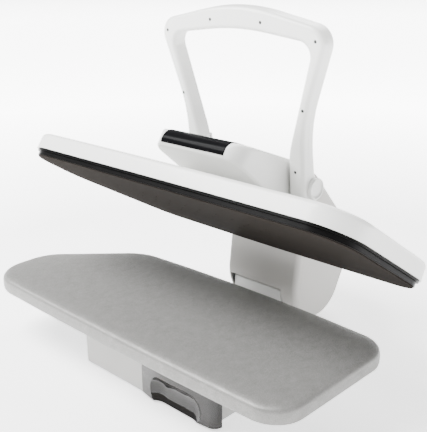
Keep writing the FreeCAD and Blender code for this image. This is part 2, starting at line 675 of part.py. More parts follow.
def board_screws():
    """Screws from the base's posts into the tray."""
    screws = []
    top = "(board_low + cloth_thick + cloth_gap + pan_thick)"
    roof = CEILING
    for i, place in enumerate(post_places()):
        shank = rod("board_shank_%d" % i, "z", place, (roof, top), "screw_radius")
        head = rod("board_head_%d" % i, "z", place, (roof + " - screw_head_high", roof), "screw_head")
        screws.append(fuse("board_screw_%d" % i, shank, head))
    node(group("board_screws", *screws), "board_screws")


# Base.

def base_corners():
    """Plan corners of the base, with the step for the tank's front."""
    rear = num(BASE_REAR)
    left, right, front = num("base_left"), num("base_right"), num("base_front")
    bay, step, small = num("bay_left"), num("bay_front"), num("fit_gap")
    big = num("base_round")
    return [(left, front, big), (bay, front, small), (bay, step, small), (right, step, small),
            (right, rear, big),
            (left, rear, big)]


def boss_places():
    """Places of the screws that hold the base plate."""
    left = "(base_left + boss_inset)"
    front = "(base_front + boss_inset)"
    rear = "(%s - boss_inset)" % BASE_REAR
    return [(left, front), ("(bay_left - boss_inset)", front), (left, rear),
            ("(base_right - boss_inset)", rear)]


def base_plate():
    """Steel floor of the base with a tongue that carries the hinge bracket."""
    floor = prism_z("floor_sheet", grown(base_corners(), -num("fit_gap")), "foot_high", FLOOR)
    tongue = box("floor_tongue", (SLOT_LEFT + " + tongue_inset", SLOT_RIGHT + " - tongue_inset"),
                 (BASE_REAR + " - base_round", "board_depth + tongue_behind"), ("foot_high", FLOOR))
    holes = [rod("floor_hole_%d" % i, "z", place, ("foot_high - cut_past", FLOOR + " + cut_past"),
                 "screw_radius + hold_gap")
             for i, place in enumerate(boss_places())]
    node(cut("base_plate", fuse("floor_whole", floor, tongue), *holes), "base_plate")


def rubber_feet():
    """Six rubber feet, two of them under the tongue."""
    left, right = "(base_left + foot_inset)", "(base_right - foot_inset)"
    front, rear = "(base_front + 2 * foot_inset)", "(%s - foot_inset)" % BASE_REAR
    back = "(board_depth + tongue_behind - foot_radius - foot_edge)"
    tongue_left = "(%s + tongue_inset + foot_radius + foot_edge)" % SLOT_LEFT
    tongue_right = "(%s - tongue_inset - foot_radius - foot_edge)" % SLOT_RIGHT
    places = [(left, front), (right, "(bay_front + 2 * foot_inset)"), (left, rear), (right, rear),
              (tongue_left, back), (tongue_right, back)]
    feet = [rod("foot_%d" % i, "z", place, ("0", "foot_high"), "foot_radius") for i,
            place in enumerate(places)]
    node(group("rubber_feet", *feet), "rubber_feet")


def base_screws():
    """Screws from below through the base plate into the housing."""
    screws = []
    for i, place in enumerate(boss_places()):
        shank = rod("base_shank_%d" % i, "z", place, ("foot_high", "foot_high + screw_length"),
                    "screw_radius")
        head = rod("base_head_%d" % i, "z", place, ("foot_high - screw_head_high", "foot_high"), "screw_head")
        screws.append(fuse("base_screw_%d" % i, shank, head))
    node(group("base_screws", *screws), "base_screws")


def base_housing():
    """Moulded housing: closed top with posts for the board, bay mouth for the tank, hole for the inlet."""
    outer = prism_z("housing_outside", base_corners(), FLOOR, ROOF)
    inside = grown(base_corners(), -num("base_wall"))
    hollow = prism_z("housing_inside", inside, FLOOR + " - cut_past", ROOF + " - base_wall")
    mouth = box("housing_mouth", ("bay_left + bay_wall", "base_right - base_wall"),
                ("bay_front - cut_past", "bay_front + base_wall + cut_past"),
                (FLOOR + " - cut_past", ROOF + " - base_wall"))
    inlet = box("housing_inlet", ("inlet_right - inlet_half - fit_gap", "inlet_right + inlet_half + fit_gap"),
                (BASE_REAR + " - base_wall - cut_past", BASE_REAR + " + cut_past"),
                ("inlet_high - inlet_tall - fit_gap", "inlet_high + inlet_tall + fit_gap"))
    outlet = rod("housing_outlet", "y", ("pump_right", "pump_high + hose_over"),
                 (BASE_REAR + " - base_wall - cut_past", BASE_REAR + " + cut_past"), "hose_radius + fit_gap")
    body = cut("housing_shell", outer, hollow, mouth, inlet, outlet)
    top = "(board_low + cloth_thick + cloth_gap)"
    posts = [rod("post_%d" % i, "z", place, (ROOF + " - base_wall", top), "post_radius")
             for i, place in enumerate(post_places())]
    bosses = [rod("boss_%d" % i, "z", place, (FLOOR, FLOOR + " + 2 * screw_length"), "boss_radius")
              for i, place in enumerate(boss_places())]
    webs = []
    for i, (x, y) in enumerate(boss_places()):
        edge = ("base_left + base_wall / 2", x) if i in (0, 2) else (x, x + " + boss_inset - base_wall / 2")
        webs.append(box("web_%d" % i, edge, (y + " - web_half", y + " + web_half"),
                        (FLOOR, FLOOR + " + 2 * screw_length")))
    post_holes = [rod("post_hole_%d" % i, "z", place, (ROOF + " - base_wall - cut_past", top + " + cut_past"),
                      "screw_radius + hold_gap") for i, place in enumerate(post_places())]
    boss_holes = [rod("boss_hole_%d" % i, "z", place,
                      (FLOOR + " - cut_past", FLOOR + " + 1.5 * screw_length"),
                      "screw_radius + hold_gap") for i, place in enumerate(boss_places())]
    whole = fuse("housing_whole", body, *(posts + bosses + webs))
    node(cut("base_housing", whole, *(post_holes + boss_holes)), "base_housing")


def tank_bay():
    """Liner that the tank slides in, open to the front."""
    xs = ("bay_left + bay_wall", "base_right - base_wall - fit_gap")
    zs = (FLOOR, BAY_TOP)
    outer = box("bay_outside", xs, ("bay_front + base_wall + fit_gap", BAY_REAR), zs)
    inner = box("bay_inside", (xs[0] + " + bay_wall", xs[1] + " - bay_wall"),
                ("bay_front - cut_past", BAY_REAR + " - bay_wall"),
                (zs[0] + " + bay_wall", zs[1] + " - bay_wall"))
    hole = rod("bay_hole", "y", ("valve_right", "valve_high"),
               (BAY_REAR + " - bay_wall - cut_past", BAY_REAR + " + cut_past"),
               "valve_radius + 2 * fit_gap")
    node(cut("tank_bay", outer, inner, hole), "tank_bay")


def tank_front_corners():
    """Plan corners of the tank's bulging front."""
    left, right, front = num("bay_left + fit_gap"), num("tank_right"), num("tank_front")
    rear = num("bay_front - fit_gap")
    return [(left, num("base_front") - 2, 3.0), (num("filler_right") + 20, front, 240.0),
            (right - 4, front + 14, 18.0),
            (right, rear, 1.0), (left, rear, 1.0)]


def water_tank():
    """Clear tank with a bulging front, a finger recess and a filler hole."""
    front = prism_z("tank_front_block", tank_front_corners(), "tank_low", "tank_high")
    body_x = ("bay_left + 2 * bay_wall + tank_gap", "base_right - base_wall - bay_wall - fit_gap - tank_gap")
    body_z = (FLOOR + " + bay_wall + fit_gap", BAY_TOP + " - bay_wall - tank_gap")
    body = box("tank_body_block", body_x, ("bay_front - 2", TANK_REAR), body_z)
    whole = fuse("tank_block", front, body)
    scoop = tank_scoop()
    inner_front = prism_z("tank_front_hollow", grown(tank_front_corners(), -num("tank_wall")),
                          "tank_low + tank_wall", "tank_high - tank_wall")
    inner_body = box("tank_body_hollow", (body_x[0] + " + tank_wall", body_x[1] + " - tank_wall"),
                     ("bay_front - 6", TANK_REAR + " - tank_wall"),
                     (body_z[0] + " + tank_wall", body_z[1] + " - tank_wall"))
    hollow = cut("tank_hollow", fuse("tank_hollow_block", inner_front, inner_body), tank_scoop_wall())
    filler = rod("tank_filler_hole", "z", ("filler_right", "bay_front + filler_back"),
                 (body_z[1] + " - 2 * tank_wall", body_z[1] + " + cut_past"), "tank_filler")
    outlet = rod("tank_outlet_hole", "y", ("valve_right", "valve_high"),
                 (TANK_REAR + " - tank_wall - cut_past", TANK_REAR + " + cut_past"),
                 "valve_bore")
    node(cut("water_tank", whole, scoop, hollow, filler, outlet), "water_tank")


def scoop_solid(name, more):
    """Rounded bar that hollows out the finger recess."""
    radius = "(scoop_radius + %s)" % more
    axis_y = "(base_front - 7 + scoop_deep + %s - %s)" % (more, radius)
    end = "(sqrt(scoop_radius ^ 2 - (scoop_radius - scoop_deep) ^ 2))"
    left, right = "(scoop_left + %s)" % end, "(scoop_right - %s)" % end
    bar = rod(name + "_bar", "x", (axis_y, "scoop_high"), (left, right), radius)
    ends = []
    for label, place in (("left", left), ("right", right)):
        ball = doc.addObject("Part::Sphere", "%s_%s" % (name, label))
        bind(ball, "Radius", radius)
        bind(ball, "Placement.Base.x", place)
        bind(ball, "Placement.Base.y", axis_y)
        bind(ball, "Placement.Base.z", "scoop_high")
        ends.append(ball)
    return fuse(name, bar, *ends)


def tank_scoop():
    """The finger recess."""
    return scoop_solid("scoop", "0")


def tank_scoop_wall():
    """The finger recess with the tank's wall round it."""
    return scoop_solid("scoop_wall", "tank_wall")


def tank_valve():
    """Outlet nozzle at the rear of the tank."""
    outer = rod("valve_outside", "y", ("valve_right", "valve_high"),
                (TANK_REAR, TANK_REAR + " + valve_length"),
                "valve_radius")
    bore = rod("valve_inside", "y", ("valve_right", "valve_high"),
               (TANK_REAR + " - cut_past", TANK_REAR + " + valve_length + cut_past"),
               "valve_bore")
    node(cut("tank_valve", outer, bore), "tank_valve")


def tank_socket():
    """Socket behind the bay that the tank's outlet plugs into."""
    span = (BAY_REAR, BAY_REAR + " + socket_length")
    outer = rod("socket_outside", "y", ("valve_right", "valve_high"), span,
                "valve_radius + fit_gap + socket_wall")
    cup = rod("socket_cup", "y", ("valve_right", "valve_high"),
              (BAY_REAR + " - cut_past", BAY_REAR + " + socket_length - 8"),
              "valve_radius + fit_gap")
    bore = rod("socket_bore", "y", ("valve_right", "valve_high"),
               (BAY_REAR + " - cut_past", BAY_REAR + " + socket_length + cut_past"),
               "hose_bore")
    node(cut("tank_socket", outer, cup, bore), "tank_socket")


def water_pump():
    """Pump with a port at each end."""
    rear = PUMP_FRONT + " + pump_length"
    front_port, rear_port = PUMP_FRONT + " - port_length", rear + " + port_length"
    centre = ("pump_right", "pump_high")
    body = rod("pump_body", "y", centre, (PUMP_FRONT, rear), "pump_radius")
    ports = rod("pump_ports", "y", centre, (front_port, rear_port), "pump_port")
    bore = rod("pump_bore", "y", centre, (front_port + " - cut_past", rear_port + " + cut_past"), "hose_bore")
    node(cut("water_pump", fuse("pump_block", body, ports), bore), "water_pump")


def pump_cradle():
    """Rubber cradle that the pump lies in."""
    middle = "(%s + pump_length / 2)" % PUMP_FRONT
    block = box("cradle_block", ("pump_right - cradle_half", "pump_right + cradle_half"),
                (middle + " - cradle_length / 2", middle + " + cradle_length / 2"),
                (FLOOR, "pump_high - pump_radius / 2"))
    bed = rod("cradle_bed", "y", ("pump_right", "pump_high"), (PUMP_FRONT, PUMP_FRONT + " + pump_length"),
              "pump_radius + hold_gap")
    node(cut("pump_cradle", block, bed), "pump_cradle")


def feed_hose():
    """Hose from the tank's socket to the pump."""
    start = num(BAY_REAR + " + socket_length")
    back = start + num("2 * hose_bend")
    right, low = num("valve_right"), num("valve_high")
    left, high = num("pump_right"), num("pump_high")
    end = num(PUMP_FRONT + " + pump_length + port_length")
    points = [Vector(right, start, low), Vector(right, back, low), Vector(left, back, high),
              Vector(left, end, high)]
    node(tube("feed_hose", points, "hose_radius", "hose_bore"), "feed_hose")


def delivery_hose():
    """Hose from the pump's front port, back over the pump and out through the rear of the base."""
    left, low = num("pump_right"), num("pump_high")
    high = low + num("hose_over")
    port = num(PUMP_FRONT + " - port_length")
    front = port - num("2.2 * hose_bend")
    rear = num(BASE_REAR) + 8
    points = [Vector(left, port, low), Vector(left, front, low), Vector(left, front, high),
              Vector(left, rear, high)]
    node(tube("delivery_hose", points, "hose_radius", "hose_bore"), "delivery_hose")


def power_board():
    """Circuit board with a transformer, a relay and a heat sink, on four standoffs."""
    left, front = "supply_left", "supply_front"
    right, rear = "(supply_left + supply_width)", "(supply_front + supply_length)"
    top = "(supply_high + circuit_thick)"
    plate = box("supply_plate", (left, right), (front, rear), ("supply_high", top))
    blocks = [
        box("supply_transformer", (left + " + 12", left + " + 42"), (front + " + 14", front + " + 44"),
            (top + " - 0.5", top + " + 26")),
        box("supply_relay", (left + " + 12", left + " + 30"), (front + " + 56", front + " + 76"),
            (top + " - 0.5", top + " + 15")),
        box("supply_sink", (left + " + 46", left + " + 56"), (front + " + 20", front + " + 70"),
            (top + " - 0.5", top + " + 20")),
    ]
    node(fuse("power_board", plate, *blocks), "power_board")


def board_standoffs():
    """Standoffs under the power board."""
    left, right = "(supply_left + standoff_inset)", "(supply_left + supply_width - standoff_inset)"
    front, rear = "(supply_front + standoff_inset)", "(supply_front + supply_length - standoff_inset)"
    posts = [rod("standoff_%d" % i, "z", place, (FLOOR, "supply_high"), "standoff_radius")
             for i, place in enumerate((x, y) for x in (left, right) for y in (front, rear))]
    node(group("power_board_standoffs", *posts), "power_board_standoffs")


def cord_inlet():
    """Mains inlet in the rear wall; the cord itself isn't shown."""
    rear = BASE_REAR
    flange = box("inlet_plate", ("inlet_right - inlet_flange", "inlet_right + inlet_flange"),
                 (rear, rear + " + inlet_lip"),
                 ("inlet_high - inlet_tall - 3", "inlet_high + inlet_tall + 3"))
    body = box("inlet_body", ("inlet_right - inlet_half", "inlet_right + inlet_half"),
               (rear + " - inlet_deep", rear + " + cut_past"),
               ("inlet_high - inlet_tall", "inlet_high + inlet_tall"))
    cup = box("inlet_cup", ("inlet_right - inlet_half + 2", "inlet_right + inlet_half - 2"),
              (rear + " - inlet_deep + 5", rear + " + inlet_lip + cut_past"),
              ("inlet_high - inlet_tall + 2", "inlet_high + inlet_tall - 2"))
    hollow = cut("inlet_shell", fuse("inlet_block", flange, body), cup)
    pins = [box("inlet_pin_%d" % i, ("inlet_right + %s - pin_half" % x, "inlet_right + %s + pin_half" % x),
                (rear + " - inlet_deep + 4", rear + " - 2"),
                ("inlet_high + %s - 2" % z, "inlet_high + %s + 2" % z))
            for i, (x, z) in enumerate((("-7", "-2"), ("0", "2"), ("7", "-2")))]
    node(fuse("cord_inlet", hollow, *pins), "cord_inlet")


# Lifting hinge.

def hinge_bracket():
    """Steel bracket on the tongue with two ears for the hinge shaft."""
    ys = (HINGE_Y + " - ear_half", HINGE_Y + " + ear_half")
    base = box("bracket_base", (EAR_LEFT, EAR_RIGHT), ys, (FLOOR, FLOOR + " + ear_thick / 2"))
    centre = (HINGE_Y, HINGE_Z)
    ears = []
    for label, low, high in (("left", EAR_LEFT, EAR_LEFT + " + ear_thick"),
                             ("right", EAR_RIGHT + " - ear_thick", EAR_RIGHT)):
        ears.append(box("ear_flat_" + label, (low, high), ys, (FLOOR, HINGE_Z)))
        ears.append(rod("ear_top_" + label, "x", centre, (low, high), "ear_half"))
    hole = rod("ear_hole", "x", centre, (EAR_LEFT + " - cut_past", EAR_RIGHT + " + cut_past"),
               "hinge_shaft_radius + bush_wall + hold_gap")
    node(cut("hinge_bracket", fuse("bracket_block", base, *ears), hole), "hinge_bracket")


def hinge_bush(label, low, high, collar_low, collar_high):
    """One flanged bush in an ear of the bracket."""
    centre = (HINGE_Y, HINGE_Z)
    sleeve = rod("sleeve_" + label, "x", centre, (low, high), "hinge_shaft_radius + bush_wall")
    collar = rod("collar_" + label, "x", centre, (collar_low, collar_high),
                 "hinge_shaft_radius + bush_wall + bush_flange")
    bore = rod("bush_bore_" + label, "x", centre, (low + " - 10", high + " + 10"),
               "hinge_shaft_radius + run_gap")
    return cut("bush_" + label, fuse("bush_block_" + label, sleeve, collar), bore)


def hinge_bushes():
    """Flanged bushes in the bracket's ears."""
    inner_left = EAR_LEFT + " + ear_thick"
    inner_right = EAR_RIGHT + " - ear_thick"
    left = hinge_bush("left", EAR_LEFT, inner_left, inner_left, inner_left + " + bush_flange")
    right = hinge_bush("right", inner_right, EAR_RIGHT, inner_right + " - bush_flange", inner_right)
    node(group("hinge_bushes", left, right), "hinge_bushes")


def hinge_cover():
    """Moulded cover over the hinge bracket, seen in the drum's slot."""
    high = HINGE_Z + " + block_high"
    front, rear = HINGE_Y + " - block_front", HINGE_Y + " + block_rear"
    edge, foot = num("block_round"), num("fit_gap")
    bottom, top = num(FLOOR), num(high)
    corners = [(num(front), bottom, foot), (num(rear), bottom, foot), (num(rear), top, edge),
               (num(front), top, edge)]
    outer = prism_x("block_outside", corners, BLOCK_LEFT, BLOCK_RIGHT)
    hollow = box("block_inside", (BLOCK_LEFT + " + block_wall", BLOCK_RIGHT + " - block_wall"),
                 (front + " + block_wall", rear + " + cut_past"),
                 (FLOOR + " - cut_past", high + " - block_wall"))
    holes = rod("block_holes", "x", (HINGE_Y, HINGE_Z),
                (BLOCK_LEFT + " - cut_past", BLOCK_RIGHT + " + cut_past"),
                "hinge_shaft_radius + 3 * fit_gap")
    node(cut("hinge_cover", outer, hollow, holes), "hinge_cover")


def biarc(first, first_way, last, last_way):
    """Two arcs that join two points with given directions."""
    chord = last - first
    ways = first_way + last_way
    turned = 2 * (1 - first_way.dot(last_way))
    reach = (math.sqrt(chord.dot(ways) ** 2 + turned * chord.dot(chord)) - chord.dot(ways)) / turned
    joint = (first + last + (first_way - last_way) * reach) * 0.5
    return [bow(first, first_way, joint), bow(last, last_way * -1, joint, True)]


def bow(start, way, end, backwards=False):
    """Arc from a start with a direction to an end."""
    chord = end - start
    along = Vector(chord).normalize()
    across = (way - along * way.dot(along)).normalize()
    half = math.acos(max(-1.0, min(1.0, way.dot(along))))
    sag = chord.Length / 2 * math.tan(half / 2)
    middle = (start + end) * 0.5 + across * sag
    if backwards:
        return Part.Arc(end, middle, start).toShape()
    return Part.Arc(start, middle, end).toShape()


def lift_spring():
    """Coil of the torsion spring round the hinge shaft, without its legs; prints its gap to itself."""
    mean, pitch, wire = num("spring_mean"), num(SPRING_PITCH), num("spring_wire / 2")
    turns = int(num("spring_turns"))
    start = num(EAR_LEFT + " + ear_thick + spring_end")
    centre_y, centre_z = num(HINGE_Y), num(HINGE_Z)
    steps = 4 * turns
    lead = pitch / (2 * math.pi)

    def point(angle):
        return Vector(start + lead * angle, centre_y + mean * math.sin(angle),
                      centre_z - mean * math.cos(angle))

    def way(angle):
        return Vector(lead, mean * math.cos(angle), mean * math.sin(angle)).normalize()

    angles = [i * math.pi / 2 for i in range(steps + 1)]
    edges = []
    for low, high in zip(angles, angles[1:]):
        edges += biarc(point(low), way(low), point(high), way(high))
    path = Part.Wire(edges)
    ring = Part.Wire(Part.makeCircle(wire, point(0), way(0)))
    solid = doc.addObject("Part::Feature", "lift_spring")
    solid.Shape = path.makePipeShell([ring], True, False)
    print("spring's least gap between turns: %.2f mm" % (pitch - 2 * wire))
    node(solid, "lift_spring")


# Arm.

def front_face():
    """A point of the arm's leaning front face, where it touches the drum, and its run per height."""
    lean = math.radians(num("arm_lean"))
    radius = num("drum_radius")
    touch_y = num(DRUM_Y) - radius * math.cos(lean)
    touch_z = num(DRUM_Z) - radius * math.sin(lean)
    return touch_y, touch_z, math.tan(lean)


def arm_corners():
    """Side corners of the arm with the press shut: front end, front face, drum, heel, back and crest."""
    plate = num(PLATE)
    pivot_y, pivot_z, lug = num(PIVOT_Y), num(PIVOT_Z), num("lug_radius")
    drum_y, radius = num(DRUM_Y), num("drum_radius")
    under, bottom = num(ARM_UNDER), num("drum_foot")
    rear, roof = drum_y + radius, num(DRUM_Z) + radius
    touch_y, touch_z, slope = front_face()
    front, top = pivot_y - lug, pivot_z + lug
    return [
        (front, under, lug - 2),
        (touch_y - (under - touch_z) * slope, under, num("knee_round")),
        (touch_y + (touch_z - bottom) * slope, bottom, radius),
        (rear, bottom, num("drum_radius - tail_less")),
        (rear - num("heel_inset"), roof - num("heel_drop"), num("drum_radius + heel_more")),
        (drum_y - num("back_ahead"), roof + num("back_rise"), radius),
        (pivot_y + num("crest_behind"), plate + num("crest_high"), num("crest_round")),
        (front, top, lug - 2),
    ]


def arm_block(name, inset):
    """Solid arm with rounded long edges, inset from the outer surface."""
    half = "arm_half - %s" % inset
    corners = grown(arm_corners(), -num(inset))
    block = prism_x(name + "_block", corners, "-(%s)" % half, half)
    limit = num(half) - 1e-3
    return filleted(name, block, "arm_round - %s" % inset,
                    lambda edge: abs(abs(edge.CenterOfMass.x) - limit) < 0.01)


def front_band(name, inset, high):
    """Slanted bar along the arm's front face that parts its two covers."""
    touch_y, touch_z, slope = front_face()
    deep = num("front_band") - num(inset)
    top = num(ARM_UNDER) + num(high)
    low = touch_z - 2.4 * deep
    span = deep * math.hypot(1, slope)
    ahead = num("drum_radius")

    def along(z):
        return touch_y - (z - touch_z) * slope

    corners = [(along(low) - ahead, low, 0.2), (along(low) + span, low, 0.2), (along(top) + span, top, 0.2),
               (along(top) - ahead, top, 0.2)]
    return prism_x(name, corners, "-(arm_half + cut_past)", "arm_half + cut_past")


def slot_box(name):
    """Slot in the drum that lets it swing round the hinge cover."""
    return box(name, (SLOT_LEFT, SLOT_RIGHT), (HINGE_Y + " - slot_front", HINGE_Y + " + slot_rear"),
               ("0 - drum_radius", HINGE_Z + " + slot_high"))


def arm_rear_cover():
    """Main shell of the arm: front end, back, cheeks and most of the drum."""
    outer = arm_block("arm_outside", "0")
    inner = arm_block("arm_inside", "shell_wall")
    shell = cut("arm_shell", outer, inner)
    grommet = rod("arm_grommet_hole", "z", ("0", PIVOT_Y + " + lug_radius"),
                  (ARM_UNDER + " - cut_past", ARM_UNDER + " + shell_wall + cut_past"),
                  "hose_radius + fit_gap")
    pivot = rod("arm_pivot_holes", "x", (PIVOT_Y, PIVOT_Z), ("-arm_half - cut_past", "arm_half + cut_past"),
                "pivot_bolt_radius + 2 * fit_gap")
    node(cut("arm_rear_cover", shell, front_band("rear_band", "0", "-1"), slot_box("rear_slot"), grommet,
             pivot),
         "arm_rear_cover", True)


def arm_front_cover():
    """Front shell of the arm, with the slot."""
    outer = arm_block("front_outside", "0")
    inner = arm_block("front_inside", "shell_wall")
    shell = cut("front_shell", outer, inner)
    strip = common("front_strip", shell, front_band("front_strip_band", "seam_gap", "-1 - seam_gap"))
    node(cut("arm_front_cover", strip, slot_box("front_slot")), "arm_front_cover", True)


def plate_openings():
    """Lightening holes of a side plate: a round one in the drum and a long one in the neck."""
    drum_y, drum_z = num(DRUM_Y + " + ring_behind"), num(DRUM_Z + " + ring_above")
    hole = num("drum_radius * ring_share")
    ring = [(drum_y - hole, drum_z - hole, hole), (drum_y + hole, drum_z - hole, hole),
            (drum_y + hole, drum_z + hole, hole - 0.1), (drum_y - hole, drum_z + hole, hole)]
    neck_y = num("(%s + %s) / 2 + oval_behind" % (PIVOT_Y, DRUM_Y))
    front, rear = neck_y - num("oval_front"), neck_y + num("oval_rear")
    neck_z, half = num(ARM_UNDER + " + lug_drop * 0.85"), num("oval_half")
    end = half * 0.95
    oval = [(front, neck_z - half, end), (rear, neck_z - half, end), (rear, neck_z + half, end),
            (front, neck_z + half, end)]
    return [ring, oval]


def arm_plate(label, low, high):
    """Steel side plate from the hinge to the head pivot, with lightening holes."""
    corners = grown(arm_corners(), -num("arm_plate_inset"))
    sheet_metal = prism_x("side_plate_" + label, corners, low, high, plate_openings())
    wide = (low + " - cut_past", high + " + cut_past")
    shaft = rod("side_shaft_" + label, "x", (HINGE_Y, HINGE_Z), wide, "hinge_shaft_radius + hold_gap")
    bolt = rod("side_bolt_" + label, "x", (PIVOT_Y, PIVOT_Z), wide,
               "pivot_bolt_radius + pivot_bush_wall + hold_gap")
    bars = [rod("side_bar_%s_%d" % (label, i), "x", place, wide, "screw_head + hold_gap")
            for i, place in enumerate(spacer_places())]
    node(cut("arm_plate_" + label, sheet_metal, shaft, bolt, *bars), "arm_plate_" + label, True)


def arm_plates():
    """The two side plates."""
    arm_plate("left", "-" + PLATE_OUT, "-" + PLATE_IN)
    arm_plate("right", PLATE_IN, PLATE_OUT)


def spacer_places():
    """Places of the bars between the side plates."""
    return [(DRUM_Y + " - drum_radius * 0.3", PIVOT_Z + " - lug_radius * 0.5"),
            (DRUM_Y + " + drum_radius * 0.72", DRUM_Z + " + drum_radius * 0.4"),
            (DRUM_Y + " + drum_radius * 0.45", DRUM_Z + " - drum_radius * 0.72")]


def arm_spacers():
    """Bars that tie the side plates together, stepped at both ends."""
    bars = []
    for i, place in enumerate(spacer_places()):
        core = rod("bar_core_%d" % i, "x", place, ("-" + PLATE_OUT, PLATE_OUT), "screw_head")
        sleeve = rod("bar_sleeve_%d" % i, "x", place, ("-" + PLATE_IN, PLATE_IN), "screw_head * 1.7")
        bars.append(fuse("bar_%d" % i, core, sleeve))
    node(group("arm_spacers", *bars), "arm_spacers", True)


def hinge_shaft():
    """Shaft of the lifting hinge, held in the side plates."""
    shaft = rod("hinge_bar", "x", (HINGE_Y, HINGE_Z),
                ("-%s - shaft_past" % PLATE_OUT, PLATE_OUT + " + shaft_past"),
                "hinge_shaft_radius")
    node(group("hinge_shaft", shaft), "hinge_shaft", True)


def arm_hose():
    """Hose inside the arm from the hinge side to the grommet over the head."""
    plate, end_y = num(PLATE), num(PIVOT_Y + " + lug_radius")
    high = num(PIVOT_Z + " - arm_hose_drop")
    back = num(DRUM_Y + " + arm_hose_behind")
    bend = num(DRUM_Y + " - arm_hose_bend")
    points = [Vector(0, back, plate - num("arm_hose_low")), Vector(0, back, plate + num("arm_hose_knee")),
              Vector(0, bend, high), Vector(0, end_y, high),
              Vector(0, end_y, num(ARM_UNDER + " - 2 * arm_hose_drop"))]
    node(tube("arm_hose", points, "hose_radius", "hose_bore"), "arm_hose", True)


def hose_clip():
    """Clip on the hose inside the arm."""
    centre = "(%s + arm_hose_behind)" % DRUM_Y
    low = "(%s - arm_hose_low / 2)" % PLATE
    block = box("clip_block", ("-clip_half", "clip_half"), (centre + " - clip_half", centre + " + clip_half"),
                (low, low + " + clip_half"))
    hole = rod("clip_hole", "z", ("0", centre), (low + " - cut_past", low + " + clip_half + cut_past"),
               "hose_radius + hold_gap")
    node(cut("hose_clip", block, hole), "hose_clip", True)


def pivot_bushes():
    """Bushes of the head pivot in the side plates."""
    bushes = []
    centre = (PIVOT_Y, PIVOT_Z)
    for label, low, high in (("left", "-" + PLATE_OUT, "-" + PLATE_IN), ("right", PLATE_IN, PLATE_OUT)):
        sleeve = rod("pivot_sleeve_" + label, "x", centre, (low, high), "pivot_bolt_radius + pivot_bush_wall")
        bore = rod("pivot_bore_" + label, "x", centre, (low + " - cut_past", high + " + cut_past"),
                   "pivot_bolt_radius + run_gap")
        bushes.append(cut("pivot_bush_" + label, sleeve, bore))
    node(group("pivot_bushes", *bushes), "pivot_bushes", True)


# Heated head.

def heating_plate():
    """Cast plate with steam holes under the chamber."""
    holes = []
    columns, rows, pitch = int(num("steam_hole_count")), int(num("steam_hole_rows")), num("steam_hole_pitch")
    radius = num("steam_hole_radius")
    middle_y = num(CHAMBER_FRONT + " + chamber_depth / 2")
    for row in range(rows):
        for column in range(columns):
            x = (column - (columns - 1) / 2) * pitch
            y = middle_y + (row - (rows - 1) / 2) * pitch
            holes.append(Part.Wire(Part.makeCircle(radius, Vector(x, y, 0), Vector(0, 0, 1))))
    face = doc.addObject("Part::Feature", "plate_outline")
    rim = rounded_wire(grown(board_corners(), num("plate_grow")), plan)
    face.Shape = Part.makeFace([rim] + holes, "Part::FaceMakerBullseye")
    node(extrude("heating_plate", face, Vector(0, 0, 1), PLATE + " + plate_thick", "-" + PLATE),
         "heating_plate", True)


def steam_chamber():
    """Cast lid of the steam chamber on the plate."""
    bottom = PLATE + " + plate_thick"
    top = bottom + " + chamber_high"
    outer = box("chamber_outside", ("-chamber_length / 2", "chamber_length / 2"),
                (CHAMBER_FRONT, CHAMBER_REAR), (bottom, top))
    inner = box("chamber_inside", ("-chamber_length / 2 + chamber_wall", "chamber_length / 2 - chamber_wall"),
                (CHAMBER_FRONT + " + chamber_wall", CHAMBER_REAR + " - chamber_wall"),
                (bottom + " - cut_past", top + " - chamber_wall"))
    inlet = rod("chamber_inlet", "z", ("0", STEAM_Y), (bottom, top + " + cut_past"), "hose_radius + hold_gap")
    node(cut("steam_chamber_lid", outer, inner, inlet), "steam_chamber_lid", True)


def heating_element():
    """Tubular element laid round the steam chamber, with two terminals."""
    radius, margin = num("element_radius"), num("element_margin")
    z = num(PLATE + " + plate_thick") + radius
    side_x = num("chamber_length / 2") + margin
    front, rear = num(CHAMBER_FRONT) - margin, num(CHAMBER_REAR) + margin
    end = num(BRACKET_OUT + " + element_margin / 2")
    points = [Vector(-end, rear, z), Vector(-side_x, rear, z), Vector(-side_x, front, z),
              Vector(side_x, front, z),
              Vector(side_x, rear, z), Vector(end, rear, z)]
    node(tube("heating_element", points, "element_radius", "element_radius * 0.3"), "heating_element", True)


def thermal_parts():
    """Thermostat and thermal fuse on the plate."""
    top = PLATE + " + plate_thick"
    x = "(chamber_length / 2 + 2.4 * element_margin)"
    y = "(%s + chamber_depth / 2)" % CHAMBER_FRONT
    can = rod("thermostat_can", "z", (x, y), (top, top + " + 9"), "element_margin / 2")
    stem = rod("thermostat_stem", "z", (x, y), (top + " + 9", top + " + 14"), "element_margin / 5")
    node(fuse("thermostat", can, stem), "thermostat", True)
    fuse_y = y + " - 1.6 * element_margin"
    body = rod("fuse_body", "x", (fuse_y, top + " + 4"), (x + " - 12", x + " + 12"), "4")
    node(group("thermal_fuse", body), "thermal_fuse", True)


def gasket_ring():
    """Black heat-proof ring between the plate and the cover, stepped like the photo's dark lines."""
    low, step, high = PLATE + " + gasket_low", PLATE + " + gasket_step", PLATE + " + cover_low"
    skirt = prism_z("gasket_skirt", grown(board_corners(), num("gasket_grow")), low, step)
    flange = prism_z("gasket_flange", grown(board_corners(), num("flange_grow")), step, high)
    bore = prism_z("gasket_bore", grown(board_corners(), num("plate_grow + fit_gap")), low + " - cut_past",
                   PLATE + " + plate_thick")
    mouth = prism_z("gasket_mouth", grown(board_corners(), num("plate_grow - gasket_lap")),
                    low + " - cut_past", high + " + cut_past")
    node(cut("gasket_ring", fuse("gasket_block", skirt, flange), bore, mouth), "gasket_ring", True)


